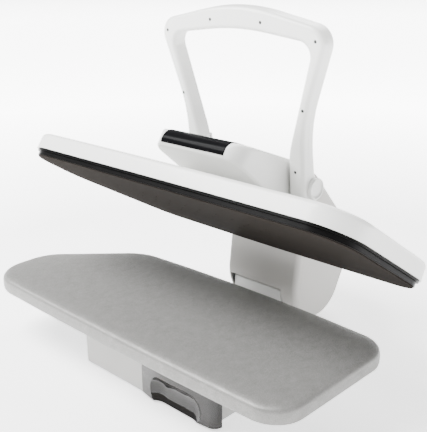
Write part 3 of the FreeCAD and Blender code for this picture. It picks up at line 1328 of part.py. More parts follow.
def cover_block(name, inset, low):
    """Head cover's solid form with a leaning wall and a rounded top edge."""
    steps = 5
    top = "(%s - %s)" % (COVER_TOP, inset)
    radius = "(cover_round - %s)" % inset
    layers = [("cover_grow - %s" % inset, low)]
    for i in range(steps + 1):
        angle = 90.0 * i / steps
        back = "%s * (1 - cos(%s))" % (radius, angle)
        rise = "%s * (1 - sin(%s))" % (radius, angle)
        layers.append(("cover_grow - cover_draft - %s - %s" % (inset, back), "%s - %s" % (top, rise)))
    return loft(name, layers)


def head_cover():
    """Thin moulded cover over the heating plate, open below, with holes for the studs and the hose."""
    outer = cover_block("cover_form", "0", PLATE + " + cover_low")
    inner = cover_block("cover_form_inside", "shell_wall", PLATE + " + cover_low - cut_past")
    through = (COVER_TOP + " - 2 * shell_wall", COVER_TOP + " + cut_past")
    holes = [rod("cover_hole_%d" % i, "z", place, through, "stud_radius + fit_gap") for i,
             place in enumerate(stud_places())]
    hose = rod("cover_hose_hole", "z", ("0", STEAM_Y), through, "hose_radius + 2 * fit_gap")
    node(cut("head_cover", outer, inner, hose, *holes), "head_cover", True)


def stud_places():
    """Places of the studs that hang the plate on the bracket."""
    right = "(%s - stud_inset)" % BRACKET_IN
    rows = ("(%s + stud_inset)" % BRACKET_FRONT, "(%s - stud_inset)" % BRACKET_REAR)
    return [(x, y) for x in ("-" + right, right) for y in rows]


def head_ear_corners():
    """Side corners of the head bracket's ears."""
    low, foot = num(COVER_TOP), num(SADDLE_TOP)
    half, bend = num("bracket_ear"), num("bracket_ear / 2")
    pivot_y, pivot_z = num(PIVOT_Y), num(PIVOT_Z)
    front, rear = num(BRACKET_FRONT), num(BRACKET_REAR)
    toe, shoulder, top = foot + 14, foot + 36, pivot_z + half
    return [(front, low, 0.2), (rear, low, 0.2), (rear, toe, bend), (pivot_y + half, shoulder, bend),
            (pivot_y + half, top, half - 0.1), (pivot_y - half, top, half - 0.1),
            (pivot_y - half, shoulder, bend), (front, toe, bend)]


def head_bracket():
    """Steel bracket on the cover with two ears for the head pivot."""
    saddle = box("saddle", ("-" + BRACKET_OUT, BRACKET_OUT), (BRACKET_FRONT, BRACKET_REAR),
                 (COVER_TOP, SADDLE_TOP))
    corners = head_ear_corners()
    ears = [prism_x("head_ear_left", corners, "-" + BRACKET_OUT, "-" + BRACKET_IN),
            prism_x("head_ear_right", corners, BRACKET_IN, BRACKET_OUT)]
    bolt = rod("head_ear_hole", "x", (PIVOT_Y, PIVOT_Z),
               ("-%s - cut_past" % BRACKET_OUT, BRACKET_OUT + " + cut_past"),
               "pivot_bolt_radius + hold_gap")
    through = (COVER_TOP + " - cut_past", SADDLE_TOP + " + cut_past")
    holes = [rod("saddle_hole_%d" % i, "z", place, through, "stud_radius + hold_gap") for i,
             place in enumerate(stud_places())]
    node(cut("head_bracket", fuse("head_bracket_block", saddle, *ears), bolt, *holes), "head_bracket", True)


def plate_studs():
    """Studs with nuts that hang the plate from the bracket."""
    studs = []
    low, high = PLATE + " + plate_thick", SADDLE_TOP
    for i, place in enumerate(stud_places()):
        shank = rod("stud_shank_%d" % i, "z", place, (low, high), "stud_radius")
        nut = rod("stud_nut_%d" % i, "z", place, (high, high + " + stud_nut_high"), "stud_nut")
        shoulder = rod("stud_shoulder_%d" % i, "z", place, (low, COVER_TOP + " - shell_wall"), "stud_nut")
        studs.append(fuse("stud_%d" % i, shank, nut, shoulder))
    node(group("plate_studs", *studs), "plate_studs", True)


def steam_hose():
    """Hose from the head's grommet down into the steam chamber."""
    y = num(STEAM_Y)
    low = num(PLATE + " + plate_thick + chamber_high - chamber_wall / 2")
    top = num(COVER_TOP) + 22
    back = num(PIVOT_Y + " - lug_radius") + 22
    points = [Vector(0, y, low), Vector(0, y, top), Vector(0, back, top)]
    node(tube("steam_hose", points, "hose_radius", "hose_bore"), "steam_hose", True)


# Pod.

def pod_corners():
    """Side corners of the pod with the press shut."""
    plate = num(PLATE)
    front, rear = num(POD_FRONT), num(POD_REAR)
    neck_front, neck_rear = num(NECK_FRONT), num(NECK_REAR)
    foot, shelf = num(COVER_TOP), num(ARM_UNDER) - 14
    return [
        (front + 2, plate + num("pod_lip_high"), num("pod_lip_round")),
        (neck_front, plate + num("pod_under"), 8.0),
        (neck_front, foot, 0.2),
        (neck_rear, foot, 0.2),
        (neck_rear, shelf, 10.0),
        (rear, shelf + 1, 10.0),
        (rear, plate + num("pod_rear_high"), 9.0),
        (front, plate + num("pod_nose_high"), num("pod_nose_round")),
    ]


def pod_body(name, inset):
    """Pod's solid form: side outline with rounded long edges, and round front corners in plan."""
    half = "%s - %s" % (POD_HALF, inset)
    block = prism_x(name + "_block", grown(pod_corners(), -num(inset)), "-(%s)" % half, half)
    reach = num(half)
    front, corner = num(POD_FRONT) + num(inset), num("pod_corner") - num(inset)
    rear = num(NECK_REAR) + 20
    corners = [(-reach, front, corner), (reach, front, corner), (reach, rear, 0.5), (-reach, rear, 0.5)]
    plan_block = prism_z(name + "_plan", corners, COVER_TOP + " - 5", PLATE + " + pod_rear_high + 30")
    shaped = common(name + "_shaped", block, plan_block)
    return filleted(name, shaped, "pod_edge - min(%s; shell_wall / 2)" % inset, pod_rim(reach))


def pod_rim(reach):
    """Test for the long edges at the pod's sides, over its nose and top."""
    low = num(PLATE + " + pod_lip_high") - 2
    rear = num(POD_REAR) - 5

    def wanted(edge):
        middle = edge.CenterOfMass
        beside = abs(abs(middle.x) - reach) < 0.01 and middle.z > low
        return beside and middle.y < rear

    return wanted


def panel_strip(name, outside, inside, half, more):
    """Strip of the pod's skin over its nose and top."""
    outer = prism_x(name + "_outside", grown(pod_corners(), num(outside)), "-(%s)" % half, half)
    inner = prism_x(name + "_inside", grown(pod_corners(), -num(inside)), "-(%s + cut_past)" % half,
                    half + " + cut_past")
    skin = cut(name + "_skin", outer, inner)
    zone = box(name + "_zone", ("-(%s)" % half, half),
               (POD_FRONT + " - 5", POD_FRONT + " + panel_deep + " + more),
               (PLATE + " + panel_low - " + more, PLATE + " + pod_rear_high + 20"))
    return common(name, skin, zone)


def pod_housing():
    """White pod under the handle: open behind for the arm, with a recess for the panel and a neck below."""
    outer = pod_body("pod_outside", "0")
    inner = pod_body("pod_inside", "shell_wall")
    inside = ("shell_wall - " + POD_HALF, POD_HALF + " - shell_wall")
    opening = box("pod_opening", ("-(%s + cut_past)" % BRACKET_OUT, BRACKET_OUT + " + cut_past"),
                  (PIVOT_Y, NECK_REAR + " + 30"),
                  (ARM_UNDER + " - 14 - 2 * shell_wall", PLATE + " + pod_rear_high + 30"))
    rear_way = box("pod_rear_way", inside, (PIVOT_Y + " - 30", POD_REAR + " + cut_past"),
                   (ARM_UNDER + " - 10", PLATE + " + pod_rear_high - 14"))
    foot = box("pod_foot", inside, (NECK_FRONT + " + shell_wall", NECK_REAR + " - shell_wall"),
               (COVER_TOP + " - cut_past", COVER_TOP + " + 24"))
    strip = panel_strip("pod_recess", "2 * panel_proud", "panel_thick + fit_gap / 2",
                        "panel_half + fit_gap / 2", "fit_gap / 2")
    bolts = rod("pod_bolt_holes", "x", (PIVOT_Y, PIVOT_Z),
                ("-(%s + cut_past)" % POD_HALF, POD_HALF + " + cut_past"),
                "pivot_bolt_radius + fit_gap")
    keys = [key_rod("pod_key_hole_%d" % i, x, "-(panel_thick + deck_cut)", "deck_cut", "key_radius * 0.6")
            for i, x in enumerate(key_places())]
    shell = cut("pod_shell", outer, inner, opening, rear_way, foot, strip, bolts, *keys)
    node(fuse("pod_housing", shell, *pod_posts()), "pod_housing", True)


def pod_posts():
    """Posts inside the pod that the control board is screwed to."""
    reach = num("logic_half - 2 * post_thin")
    back = num("logic_deep / 2 - 2 * post_thin")
    low = "circuit_thick - shell_wall - key_stem - logic_drop"
    return [key_rod("pod_post_%d" % i, str(x), low, "-(panel_thick + shell_wall) / 2", "post_thin", y)
            for i, (x, y) in enumerate((x, y) for x in (-reach, reach) for y in (-back, back))]


def deck_tilt():
    """Angle of the pod's top, in degrees."""
    return math.degrees(math.atan2(num("pod_rear_high - pod_nose_high"), num("pod_length + pod_rear_gap")))


def deck_point(y, above):
    """Point on the pod's top at a distance back, raised square to the top."""
    tilt = math.radians(deck_tilt())
    z = num(PLATE + " + pod_nose_high") + math.tan(tilt) * (y - num(POD_FRONT))
    return Vector(0, y - above * math.sin(tilt), z + above * math.cos(tilt))


def key_y():
    """Distance back of the row of keys."""
    return num(POD_FRONT + " + window_back + window_deep / 2") + 12


def key_places():
    """Places of the keys across the panel."""
    return ["-key_far", "-key_near", "key_near", "key_far"]


def key_rod(name, x, low, high, radius, shift=0.0):
    """Cylinder square to the pod's top."""
    solid = doc.addObject("Part::Cylinder", name)
    base = deck_point(key_y() + shift, num(low))
    solid.Placement = FreeCAD.Placement(Vector(num(x), base.y, base.z),
                                        FreeCAD.Rotation(Vector(1, 0, 0), deck_tilt()))
    bind(solid, "Radius", radius)
    bind(solid, "Height", "(%s) - (%s)" % (high, low))
    return solid


def control_panel():
    """Glossy black panel over the nose, with holes for the keys, the lamps and the window."""
    strip = panel_strip("panel_form", "panel_proud", "panel_thick", "panel_half", "0")
    keys = [key_rod("panel_key_hole_%d" % i, x, "-(panel_thick + deck_cut)", "deck_cut",
                    "key_radius + fit_gap")
            for i, x in enumerate(key_places())]
    ahead = -num("lamp_ahead")
    lamps = [key_rod("panel_lamp_hole_%d" % i, x, "-(panel_thick + deck_cut)", "deck_cut",
                     "lamp_radius + hold_gap", ahead)
             for i, x in enumerate(key_places())]
    window = window_box("panel_window_hole", "-(panel_thick + 3)", "3", "hold_gap")
    node(cut("control_panel", strip, window, *(keys + lamps)), "control_panel", True)


def window_box(name, low, high, more):
    """Block square to the pod's top at the display."""
    solid = doc.addObject("Part::Box", name)
    base = deck_point(num(POD_FRONT + " + window_back") - num(more), num(low))
    corner = Vector(-num("window_half") - num(more), base.y, base.z)
    solid.Placement = FreeCAD.Placement(corner, FreeCAD.Rotation(Vector(1, 0, 0), deck_tilt()))
    bind(solid, "Length", "2 * window_half + 2 * (%s)" % more)
    bind(solid, "Width", "window_deep + 2 * (%s)" % more)
    bind(solid, "Height", "(%s) - (%s)" % (high, low))
    return solid


def display_window():
    """Smoked window over the display."""
    node(group("display_window", window_box("window_glass", "-panel_thick", "panel_proud", "0")),
         "display_window", True)


def display_module():
    """Display under the window, inside the pod."""
    node(group("display_module", window_box("display_block", "-(shell_wall + panel_thick + 6)",
                                            "-(shell_wall + fit_gap)", "-2")),
         "display_module", True)


def keys():
    """Four keys: power, temperature down, temperature up and steam."""
    for label, x in zip(("power_button", "temp_down_button", "temp_up_button", "steam_button"), key_places()):
        cap = key_rod(label + "_cap", x, "-(panel_thick - key_travel * 1.3)", "panel_proud + key_proud",
                      "key_radius")
        stem = key_rod(label + "_stem", x, "-(shell_wall + key_stem)", "0", "key_radius * 0.4")
        node(fuse(label, cap, stem), label, True)


def lamps():
    """A small lamp in front of each key."""
    solids = [key_rod("lamp_%d" % i, x, "-panel_thick", "panel_proud + 0.3", "lamp_radius",
                      -num("lamp_ahead"))
              for i, x in enumerate(key_places())]
    node(group("indicator_lamps", *solids), "indicator_lamps", True)


def control_board():
    """Circuit board with a switch under each key, on the pod's posts."""
    solid = doc.addObject("Part::Box", "logic_plate")
    low = "-(shell_wall + key_stem + logic_drop)"
    base = deck_point(key_y() - num("logic_deep / 2"), num(low))
    corner = Vector(-num("logic_half"), base.y, base.z)
    solid.Placement = FreeCAD.Placement(corner, FreeCAD.Rotation(Vector(1, 0, 0), deck_tilt()))
    bind(solid, "Length", "2 * logic_half")
    bind(solid, "Width", "logic_deep")
    bind(solid, "Height", "circuit_thick")
    span = (low + " + circuit_thick / 2", "-(shell_wall + key_stem + key_travel + 0.2)")
    switches = [key_rod("switch_%d" % i, x, span[0], span[1], "key_radius * 0.5") for i,
                x in enumerate(key_places())]
    node(fuse("control_board", solid, *switches), "control_board", True)


# Handle.

def handle_point(x, up, deep):
    """Point of the handle: x, distance up its front face, distance behind that face."""
    lean = math.radians(num("handle_lean"))
    y = num(PIVOT_Y + " - handle_ahead") - up * math.sin(lean) + deep * math.cos(lean)
    z = num(PLATE + " + handle_high") + up * math.cos(lean) + deep * math.sin(lean)
    return Vector(x, y, z)


def handle_normal():
    """Direction from the handle's front face to its rear."""
    lean = math.radians(num("handle_lean"))
    return Vector(0, math.cos(lean), math.sin(lean))


def hoop_corners(inset=0.0):
    """Corners of the hoop's outline on its front face, as one closed band, shrunk by an inset."""
    out_top, in_top = num("hoop_top_out") - inset, num("hoop_top_in") + inset
    out_x, out_up = num(LEG_IN + " + hoop_corner_out") - inset, num("hoop_corner_out_up") - inset
    in_x, in_up = num(LEG_IN + " + hoop_corner_in") + inset, num("hoop_corner_in_up") + inset
    leg_in, leg_out = num(LEG_IN) + inset, num(LEG_OUT) - inset
    foot = -num("hoop_foot")
    knee_out = (-num("hoop_knee_out"), num("hoop_knee_out_round"))
    knee_in = (-num("hoop_knee_in"), num("hoop_knee_in_round"))
    corner_out, corner_in = num("hoop_corner_round"), num("hoop_corner_in_round")
    right = [(leg_in, foot, 0.0), (leg_out, foot, 0.0), (leg_out, *knee_out), (out_x, out_up, corner_out)]
    left = [(-x, up, radius) for x, up, radius in reversed(right)]
    inner = [(leg_in, *knee_in), (in_x, in_up, corner_in)]
    inner_left = [(-x, up, radius) for x, up, radius in inner]
    tops = (0.0, out_top, num("hoop_top_round")), (0.0, in_top, num("hoop_top_in_round"))
    return right + [tops[0]] + left + inner_left + [tops[1]] + inner[::-1]


def hoop(name, inset, low, high):
    """Band of the hoop between two depths."""
    start = num(low)
    face = outline(name + "_outline", hoop_corners(num(inset)), lambda u, v: handle_point(u, v, start))
    return extrude(name, face, handle_normal(), "(%s) - (%s)" % (high, low))


def hoop_edge(depth):
    """Test for edges of the hoop that lie at a depth, away from its feet."""
    normal = handle_normal()
    level = handle_point(0, 0, depth).dot(normal)
    along = handle_point(0, 1, 0) - handle_point(0, 0, 0)
    foot = handle_point(0, -num("hoop_foot"), 0).dot(along)

    def wanted(edge):
        flat = all(abs(vertex.Point.dot(normal) - level) < 0.01 for vertex in edge.Vertexes)
        above = any(vertex.Point.dot(along) - foot > 0.01 for vertex in edge.Vertexes)
        return flat and above

    return wanted


def screw_places():
    """Places of the screws on the handle's front face."""
    right = [(num("screw_top_side"), num("screw_top_up")),
             (num(LEG_IN + " + screw_corner_side"), num("screw_corner_up")),
             (num(LEG_IN + " + screw_knee_side"), 0.0),
             (num(LEG_IN + " + screw_leg_side"), -num("screw_leg_down"))]
    return [(way * x, up) for way in (-1, 1) for x, up in right]


def handle_rod(name, x, up, low, high, radius):
    """Cylinder square to the handle's front face."""
    solid = doc.addObject("Part::Cylinder", name)
    base = handle_point(x, up, num(low))
    solid.Placement = FreeCAD.Placement(base, FreeCAD.Rotation(Vector(0, 0, 1), handle_normal()))
    bind(solid, "Radius", radius)
    bind(solid, "Height", "(%s) - (%s)" % (high, low))
    return solid


def handle_front_shell():
    """Front half of the hoop, hollow behind, with screw holes and bosses."""
    band = hoop("front_band_block", "0", "0", "handle_seam")
    outer = filleted("front_band_round", band, "handle_round", hoop_edge(0.0))
    hollow = hoop("front_band_hollow", "handle_wall", "handle_wall", "handle_seam + cut_past")
    bosses = [handle_rod("front_boss_%d" % i, x, up, "handle_wall", "handle_seam", "2 * handle_screw_radius")
              for i, (x, up) in enumerate(screw_places())]
    holes = [handle_rod("front_hole_%d" % i, x, up, "-1", "handle_seam + cut_past",
                        "handle_screw_radius + hold_gap")
             for i, (x, up) in enumerate(screw_places())]
    whole = fuse("front_shell_whole", cut("front_shell_hollow", outer, hollow), *bosses)
    node(cut("handle_front_shell", whole, *(holes + [core_room("front_core_room")])), "handle_front_shell",
         True)


def foot_corners(inset=0.0):
    """Side corners of the handle's foot, from behind the leg to round the pivot."""
    pivot_y, pivot_z = num(PIVOT_Y), num(PIVOT_Z)
    top_front = handle_point(0, -num("foot_start"), num(SEAM))
    top_rear = handle_point(0, -num("foot_start"), num("handle_deep"))
    low_front = handle_point(0, -num("hoop_foot"), num(SEAM))
    rear = pivot_y + num("foot_behind")
    bottom, shoulder = pivot_z - num("foot_drop"), pivot_z + num("foot_rise")
    corners = [
        (low_front.y, low_front.z, 4.0),
        (low_front.y + 8, bottom, 6.0),
        (rear, bottom, 16.0),
        (rear, shoulder, 8.0),
        (pivot_y - 6, shoulder + 2, 20.0),
        (top_rear.y, top_rear.z, 0.5),
        (top_front.y, top_front.z, 0.5),
    ]
    return grown(corners, -inset)


def handle_foot(name, low, high, room_low, room_high):
    """One foot of the handle, rounded outside and hollow towards the pod."""
    block = prism_x(name + "_block", foot_corners(), low, high)
    outer = filleted(name + "_round", block, "handle_round", side_edge(num(LEG_OUT)))
    inner = prism_x(name + "_hollow", foot_corners(num("handle_wall")), room_low, room_high)
    return cut(name, outer, inner)


def side_edge(reach):
    """Test for edges in a plane at a distance left or right of the middle."""

    def wanted(edge):
        return abs(abs(edge.CenterOfMass.x) - reach) < 0.01

    return wanted


def handle_feet():
    """Both feet of the handle."""
    inner, outer = LEG_IN + " - cut_past", LEG_OUT + " - handle_wall"
    left = handle_foot("left_foot", "-" + LEG_OUT, "-" + LEG_IN, "-(%s)" % outer, "-(%s)" % inner)
    right = handle_foot("right_foot", LEG_IN, LEG_OUT, inner, outer)
    return [left, right]


def handle_rear_shell():
    """Rear half of the hoop with the two feet."""
    band = hoop("rear_band_block", "0", SEAM, "handle_deep")
    outer = filleted("rear_band_round", band, "handle_round", hoop_edge(num("handle_deep")))
    hollow = hoop("rear_band_hollow", "handle_wall", "handle_seam - cut_past", "handle_deep - handle_wall")
    bosses = [handle_rod("rear_boss_%d" % i, x, up, SEAM, "handle_deep - handle_wall / 2",
                         "2 * handle_screw_radius")
              for i, (x, up) in enumerate(screw_places())]
    depth = ("handle_seam - cut_past", "handle_deep - handle_wall - 2")
    holes = [handle_rod("rear_hole_%d" % i, x, up, depth[0], depth[1], "handle_screw_radius + hold_gap")
             for i, (x, up) in enumerate(screw_places())]
    clear = hoop("rear_clear", "-1", "-2", SEAM)
    bolts = rod("rear_bolts", "x", (PIVOT_Y, PIVOT_Z),
                ("-(%s + cut_past)" % LEG_OUT, LEG_OUT + " + cut_past"), "pivot_bolt_radius + hold_gap")
    band_part = fuse("rear_band_whole", cut("rear_band_shell", outer, hollow), *bosses)
    feet_part = cut("rear_feet", fuse("rear_feet_both", *handle_feet()), clear)
    whole = fuse("rear_shell_whole", band_part, feet_part)
    node(cut("handle_rear_shell", whole, bolts, *(holes + [core_room("rear_core_room")])),
         "handle_rear_shell", True)


def core_points():
    """Middle line of the handle's steel core."""
    deep = num("core_deep")
    top = num("(hoop_top_out + hoop_top_in) / 2 - 5")
    corner_x = num(LEG_IN + " + (hoop_corner_out + hoop_corner_in) / 2 - 3")
    corner_up = num("(hoop_corner_out_up + hoop_corner_in_up) / 2 - cut_past")
    leg_x = num(LEG_IN + " + leg_wide / 2")
    knee = -num("(hoop_knee_out + hoop_knee_in) / 2")
    foot = -num("screw_leg_down - 4 * core_radius")
    right = [(leg_x, foot), (leg_x, knee), (corner_x, corner_up)]
    points = [(-x, up) for x, up in right] + [(0.0, top)] + [(x, up) for x, up in reversed(right)]
    return [handle_point(x, up, deep) for x, up in points]


def core_shape(radius):
    """Round bar along the core's middle line."""
    points = core_points()
    bends = [0.0, 60.0, 24.0, 300.0, 24.0, 60.0, 0.0]
    edges = []
    last = points[0]
    for index in range(1, len(points) - 1):
        start, middle, end = rounding(points[index - 1], points[index], points[index + 1], bends[index])
        edges.append(Part.LineSegment(last, start).toShape())
        edges.append(Part.Arc(start, middle, end).toShape())
        last = end
    edges.append(Part.LineSegment(last, points[-1]).toShape())
    ring = Part.Wire(Part.makeCircle(radius, points[0], (points[1] - points[0]).normalize()))
    return Part.Wire(edges).makePipeShell([ring], True, False)


def core_room(name):
    """Room for the steel core in the shells' bosses."""
    solid = doc.addObject("Part::Feature", name)
    solid.Shape = core_shape(num("core_radius + fit_gap"))
    return solid


def handle_core():
    """Bent steel bar inside the handle."""
    solid = doc.addObject("Part::Feature", "handle_core")
    bar = core_shape(num("core_radius"))
    for i, (x, up) in enumerate(screw_places()):
        start = handle_point(x, up, 0)
        bar = bar.cut(Part.makeCylinder(num("handle_screw_radius + fit_gap"), num("handle_deep"), start,
                                        handle_normal()))
    solid.Shape = bar
    node(solid, "handle_core", True)


def handle_screws():
    """Screws in the handle's front face."""
    screws = [handle_rod("handle_screw_%d" % i, x, up, "1", "handle_deep - handle_wall - 4",
                         "handle_screw_radius")
              for i, (x, up) in enumerate(screw_places())]
    node(group("handle_screws", *screws), "handle_screws", True)


def pivot_bolts():
    """Bolts of the head pivot, one each side, from the side plate out to the handle's foot."""
    centre = (PIVOT_Y, PIVOT_Z)
    near, far = PLATE_IN + " - 8", PLATE_IN + " - 2"
    bolts = []
    for label, shank_span, head_span in (("left", ("-" + LEG_OUT, "-(%s)" % far),
                                          ("-(%s)" % far, "-(%s)" % near)),
                                         ("right", (far, LEG_OUT), (near, far))):
        shank = rod("pivot_shank_" + label, "x", centre, shank_span, "pivot_bolt_radius")
        head = rod("pivot_head_" + label, "x", centre, head_span, "pivot_bolt_radius * 1.6")
        bolts.append(fuse("pivot_bolt_" + label, shank, head))
    node(group("pivot_bolts", *bolts), "pivot_bolts", True)


def pivot_caps():
    """Round dished caps over the pivot bolts."""
    centre = (PIVOT_Y, PIVOT_Z)
    face, bowl = LEG_OUT + " + cap_out", LEG_OUT + " + cap_out - cap_dish"
    caps = []
    for label, span, dish in (("left", ("-(%s)" % face, "-" + LEG_OUT),
                               ("-(%s + cut_past)" % face, "-(%s)" % bowl)),
                              ("right", (LEG_OUT, face), (bowl, face + " + cut_past"))):
        disc = rod("cap_disc_" + label, "x", centre, span, "cap_radius")
        hollow = rod("cap_bowl_" + label, "x", centre, dish, "cap_radius - cap_rim")
        caps.append(cut("cap_" + label, disc, hollow))
    node(group("pivot_caps", *caps), "pivot_caps", True)


def check(item):
    """Stops the build if an object failed."""
    if "Invalid" in item.State or "Error" in item.State:
        raise RuntimeError("failed: %s %s" % (item.Name, item.State))


def build():
    """Makes every sub-part."""
    for piece in (board_cover, board_pad, board_pan, board_screws, base_plate, rubber_feet, base_screws,
                  base_housing,
                  tank_bay, water_tank, tank_valve, tank_socket, water_pump, pump_cradle, feed_hose,
                  delivery_hose,
                  power_board, board_standoffs, cord_inlet, hinge_bracket, hinge_bushes, hinge_cover,
                  lift_spring,
                  arm_rear_cover, arm_front_cover, arm_spacers, hinge_shaft, arm_hose, hose_clip,
                  pivot_bushes,
                  heating_plate, steam_chamber, heating_element, thermal_parts, gasket_ring, head_cover,
                  head_bracket,
                  plate_studs, steam_hose, pod_housing, control_panel, display_window, display_module, keys,
                  lamps,
                  control_board, handle_front_shell, handle_rear_shell, handle_core, handle_screws,
                  pivot_bolts,
                  pivot_caps, arm_plates):
        piece()


def export():
    """Checks every object and writes one file for each sub-part."""
    doc.recompute()
    for item in doc.Objects:
        check(item)
    os.makedirs("parts", exist_ok=True)
    for item in NODES:
        if item.Shape.isNull() or not item.Shape.isValid() or not item.Shape.Solids:
            raise RuntimeError("bad shape: " + item.Label)
    for item in NODES:
        item.Shape.exportStep("parts/%s.step" % item.Label)
    print("%d sub-parts" % len(NODES))


build()
export()
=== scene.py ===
"""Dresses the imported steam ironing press: cloth, mouldings, metals, small parts, camera and studio."""
import json
import logging
import math
from dataclasses import dataclass, field
from enum import Enum
from typing import Sequence

import bmesh
import bpy
from mathutils import Matrix, Vector, noise


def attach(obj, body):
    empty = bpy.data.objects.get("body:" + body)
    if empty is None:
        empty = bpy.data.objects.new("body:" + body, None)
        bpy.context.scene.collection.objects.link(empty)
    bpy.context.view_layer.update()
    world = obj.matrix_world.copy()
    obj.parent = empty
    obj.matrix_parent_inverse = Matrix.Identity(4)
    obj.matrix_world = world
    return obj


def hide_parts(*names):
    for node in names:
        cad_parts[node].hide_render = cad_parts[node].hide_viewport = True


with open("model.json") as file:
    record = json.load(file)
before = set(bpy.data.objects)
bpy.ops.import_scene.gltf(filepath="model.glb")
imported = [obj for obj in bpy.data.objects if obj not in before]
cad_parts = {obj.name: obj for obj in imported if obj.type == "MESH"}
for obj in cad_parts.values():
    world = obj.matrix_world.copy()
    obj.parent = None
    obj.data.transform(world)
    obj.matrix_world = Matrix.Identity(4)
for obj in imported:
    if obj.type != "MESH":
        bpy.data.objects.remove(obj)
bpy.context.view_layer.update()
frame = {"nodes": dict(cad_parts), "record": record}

LOG = logging.getLogger("press")
MM = 0.001
Pair = tuple[float, float]
Triple = tuple[float, float, float]
Colour = Triple
Corner = Triple


# Nodes of a material

class NodeBench:
    """Wires the nodes of one material around a Principled shader."""

    def __init__(self, name: str) -> None:
        """Starts an empty material with its shader and its object coordinates.

        Args:
            name: the material's name.
        """
        self.material = bpy.data.materials.new(name)
        self.material.use_nodes = True
        tree = self.material.node_tree
        self.nodes, self.links = tree.nodes, tree.links
        self.nodes.clear()
        self.shader = self.nodes.new("ShaderNodeBsdfPrincipled")
        output = self.nodes.new("ShaderNodeOutputMaterial")
        self.links.new(self.shader.outputs["BSDF"], output.inputs["Surface"])
        self.coords = self.nodes.new("ShaderNodeTexCoord").outputs["Object"]

    def set(self, **values: float | Sequence[float]) -> None:
        """Sets sockets of the shader; an underscore in a key stands for a space."""
        for key, value in values.items():
            self.shader.inputs[key.replace("_", " ")].default_value = value

    def stretched(self, scale: Sequence[float], turn: float = 0.0) -> bpy.types.NodeSocket:
        """Gives object coordinates with a scale for each axis.

        Args:
            scale: factors along x, y and z.
            turn: angle about z in degrees.

        Returns:
            The vector socket.
        """
        mapping = self.nodes.new("ShaderNodeMapping")
        mapping.inputs["Scale"].default_value = scale
        mapping.inputs["Rotation"].default_value = (0.0, 0.0, math.radians(turn))
        self.links.new(self.coords, mapping.inputs["Vector"])
        return mapping.outputs["Vector"]

    def noise(self, scale: float, detail: float = 3.0, rough: float = 0.55,
              vector: bpy.types.NodeSocket | None = None) -> bpy.types.NodeSocket:
        """Adds a noise texture.

        Args:
            scale: lumps in a metre.
            detail: finer octaves.
            rough: strength of the finer octaves.
            vector: coordinates, or the object's own.

        Returns:
            The noise's value socket.
        """
        made = self.nodes.new("ShaderNodeTexNoise")
        made.inputs["Scale"].default_value = scale
        made.inputs["Detail"].default_value = detail
        made.inputs["Roughness"].default_value = rough
        self.links.new(vector or self.coords, made.inputs["Vector"])
        return made.outputs["Fac"]

    def wave(self, scale: float, direction: str, warp: float = 0.0) -> bpy.types.NodeSocket:
        """Adds parallel threads along one axis and returns their value socket."""
        made = self.nodes.new("ShaderNodeTexWave")
        made.bands_direction = direction
        made.inputs["Scale"].default_value = scale
        made.inputs["Distortion"].default_value = warp
        made.inputs["Detail"].default_value = 1.0
        self.links.new(self.coords, made.inputs["Vector"])
        return made.outputs["Fac"]

    def ramp(self, source: bpy.types.NodeSocket,
             stops: Sequence[tuple[float, Colour]]) -> bpy.types.NodeSocket:
        """Turns a value into colours.

        Args:
            source: the value socket.
            stops: places and colours, in order.

        Returns:
            The colour socket.
        """
        made = self.nodes.new("ShaderNodeValToRGB")
        elements = made.color_ramp.elements
        while len(elements) < len(stops):
            elements.new(0.5)
        for element, (place, colour) in zip(elements, stops):
            element.position = place
            element.color = (*colour, 1.0)
        self.links.new(source, made.inputs["Fac"])
        return made.outputs["Color"]

    def between(self, source: bpy.types.NodeSocket, low: float, high: float,
                start: float = 0.0, end: float = 1.0) -> bpy.types.NodeSocket:
        """Maps a value from start..end to low..high and returns its socket."""
        made = self.nodes.new("ShaderNodeMapRange")
        for key, value in (("From Min", start), ("From Max", end), ("To Min", low), ("To Max", high)):
            made.inputs[key].default_value = value
        self.links.new(source, made.inputs["Value"])
        return made.outputs["Result"]

    def maths(self, kind: str, first: bpy.types.NodeSocket,
              second: bpy.types.NodeSocket | float) -> bpy.types.NodeSocket:
        """Joins two values with an operation and returns the result's socket."""
        made = self.nodes.new("ShaderNodeMath")
        made.operation = kind
        self.links.new(first, made.inputs[0])
        if isinstance(second, float):
            made.inputs[1].default_value = second
        else:
            self.links.new(second, made.inputs[1])
        return made.outputs["Value"]

    def mixed(self, share: bpy.types.NodeSocket, first: bpy.types.NodeSocket,
              second: Colour) -> bpy.types.NodeSocket:
        """Mixes a colour socket with a plain colour by a share and returns the colour socket."""
        made = self.nodes.new("ShaderNodeMix")
        made.data_type = "RGBA"
        self.links.new(share, made.inputs["Factor"])
        self.links.new(first, made.inputs["A"])
        made.inputs["B"].default_value = (*second, 1.0)
        return made.outputs["Result"]

    def bump(self, source: bpy.types.NodeSocket, depth: float, strength: float = 1.0,
             under: bpy.types.NodeSocket | None = None) -> bpy.types.NodeSocket:
        """Adds relief.

        Args:
            source: height from 0 to 1.
            depth: the relief's depth in metres.
            strength: its weight.
            under: normal of a coarser relief below it.

        Returns:
            The normal socket.
        """
        made = self.nodes.new("ShaderNodeBump")
        made.inputs["Distance"].default_value = depth
        made.inputs["Strength"].default_value = strength
        self.links.new(source, made.inputs["Height"])
        if under is not None:
            self.links.new(under, made.inputs["Normal"])
        return made.outputs["Normal"]

    def wire(self, key: str, source: bpy.types.NodeSocket) -> None:
        """Links a socket to one of the shader's inputs."""
        self.links.new(source, self.shader.inputs[key])


# Finishes

@dataclass(frozen=True)
class Finish:
    """A surface finish; its material is made once."""

    name: str
    slot: str

    def made(self) -> bpy.types.Material:
        """The finish's material, made on first use."""
        found = bpy.data.materials.get(self.name)
        return found if found else self.make()

    def make(self) -> bpy.types.Material:
        """Makes the material; each kind of finish has its own."""
        raise NotImplementedError


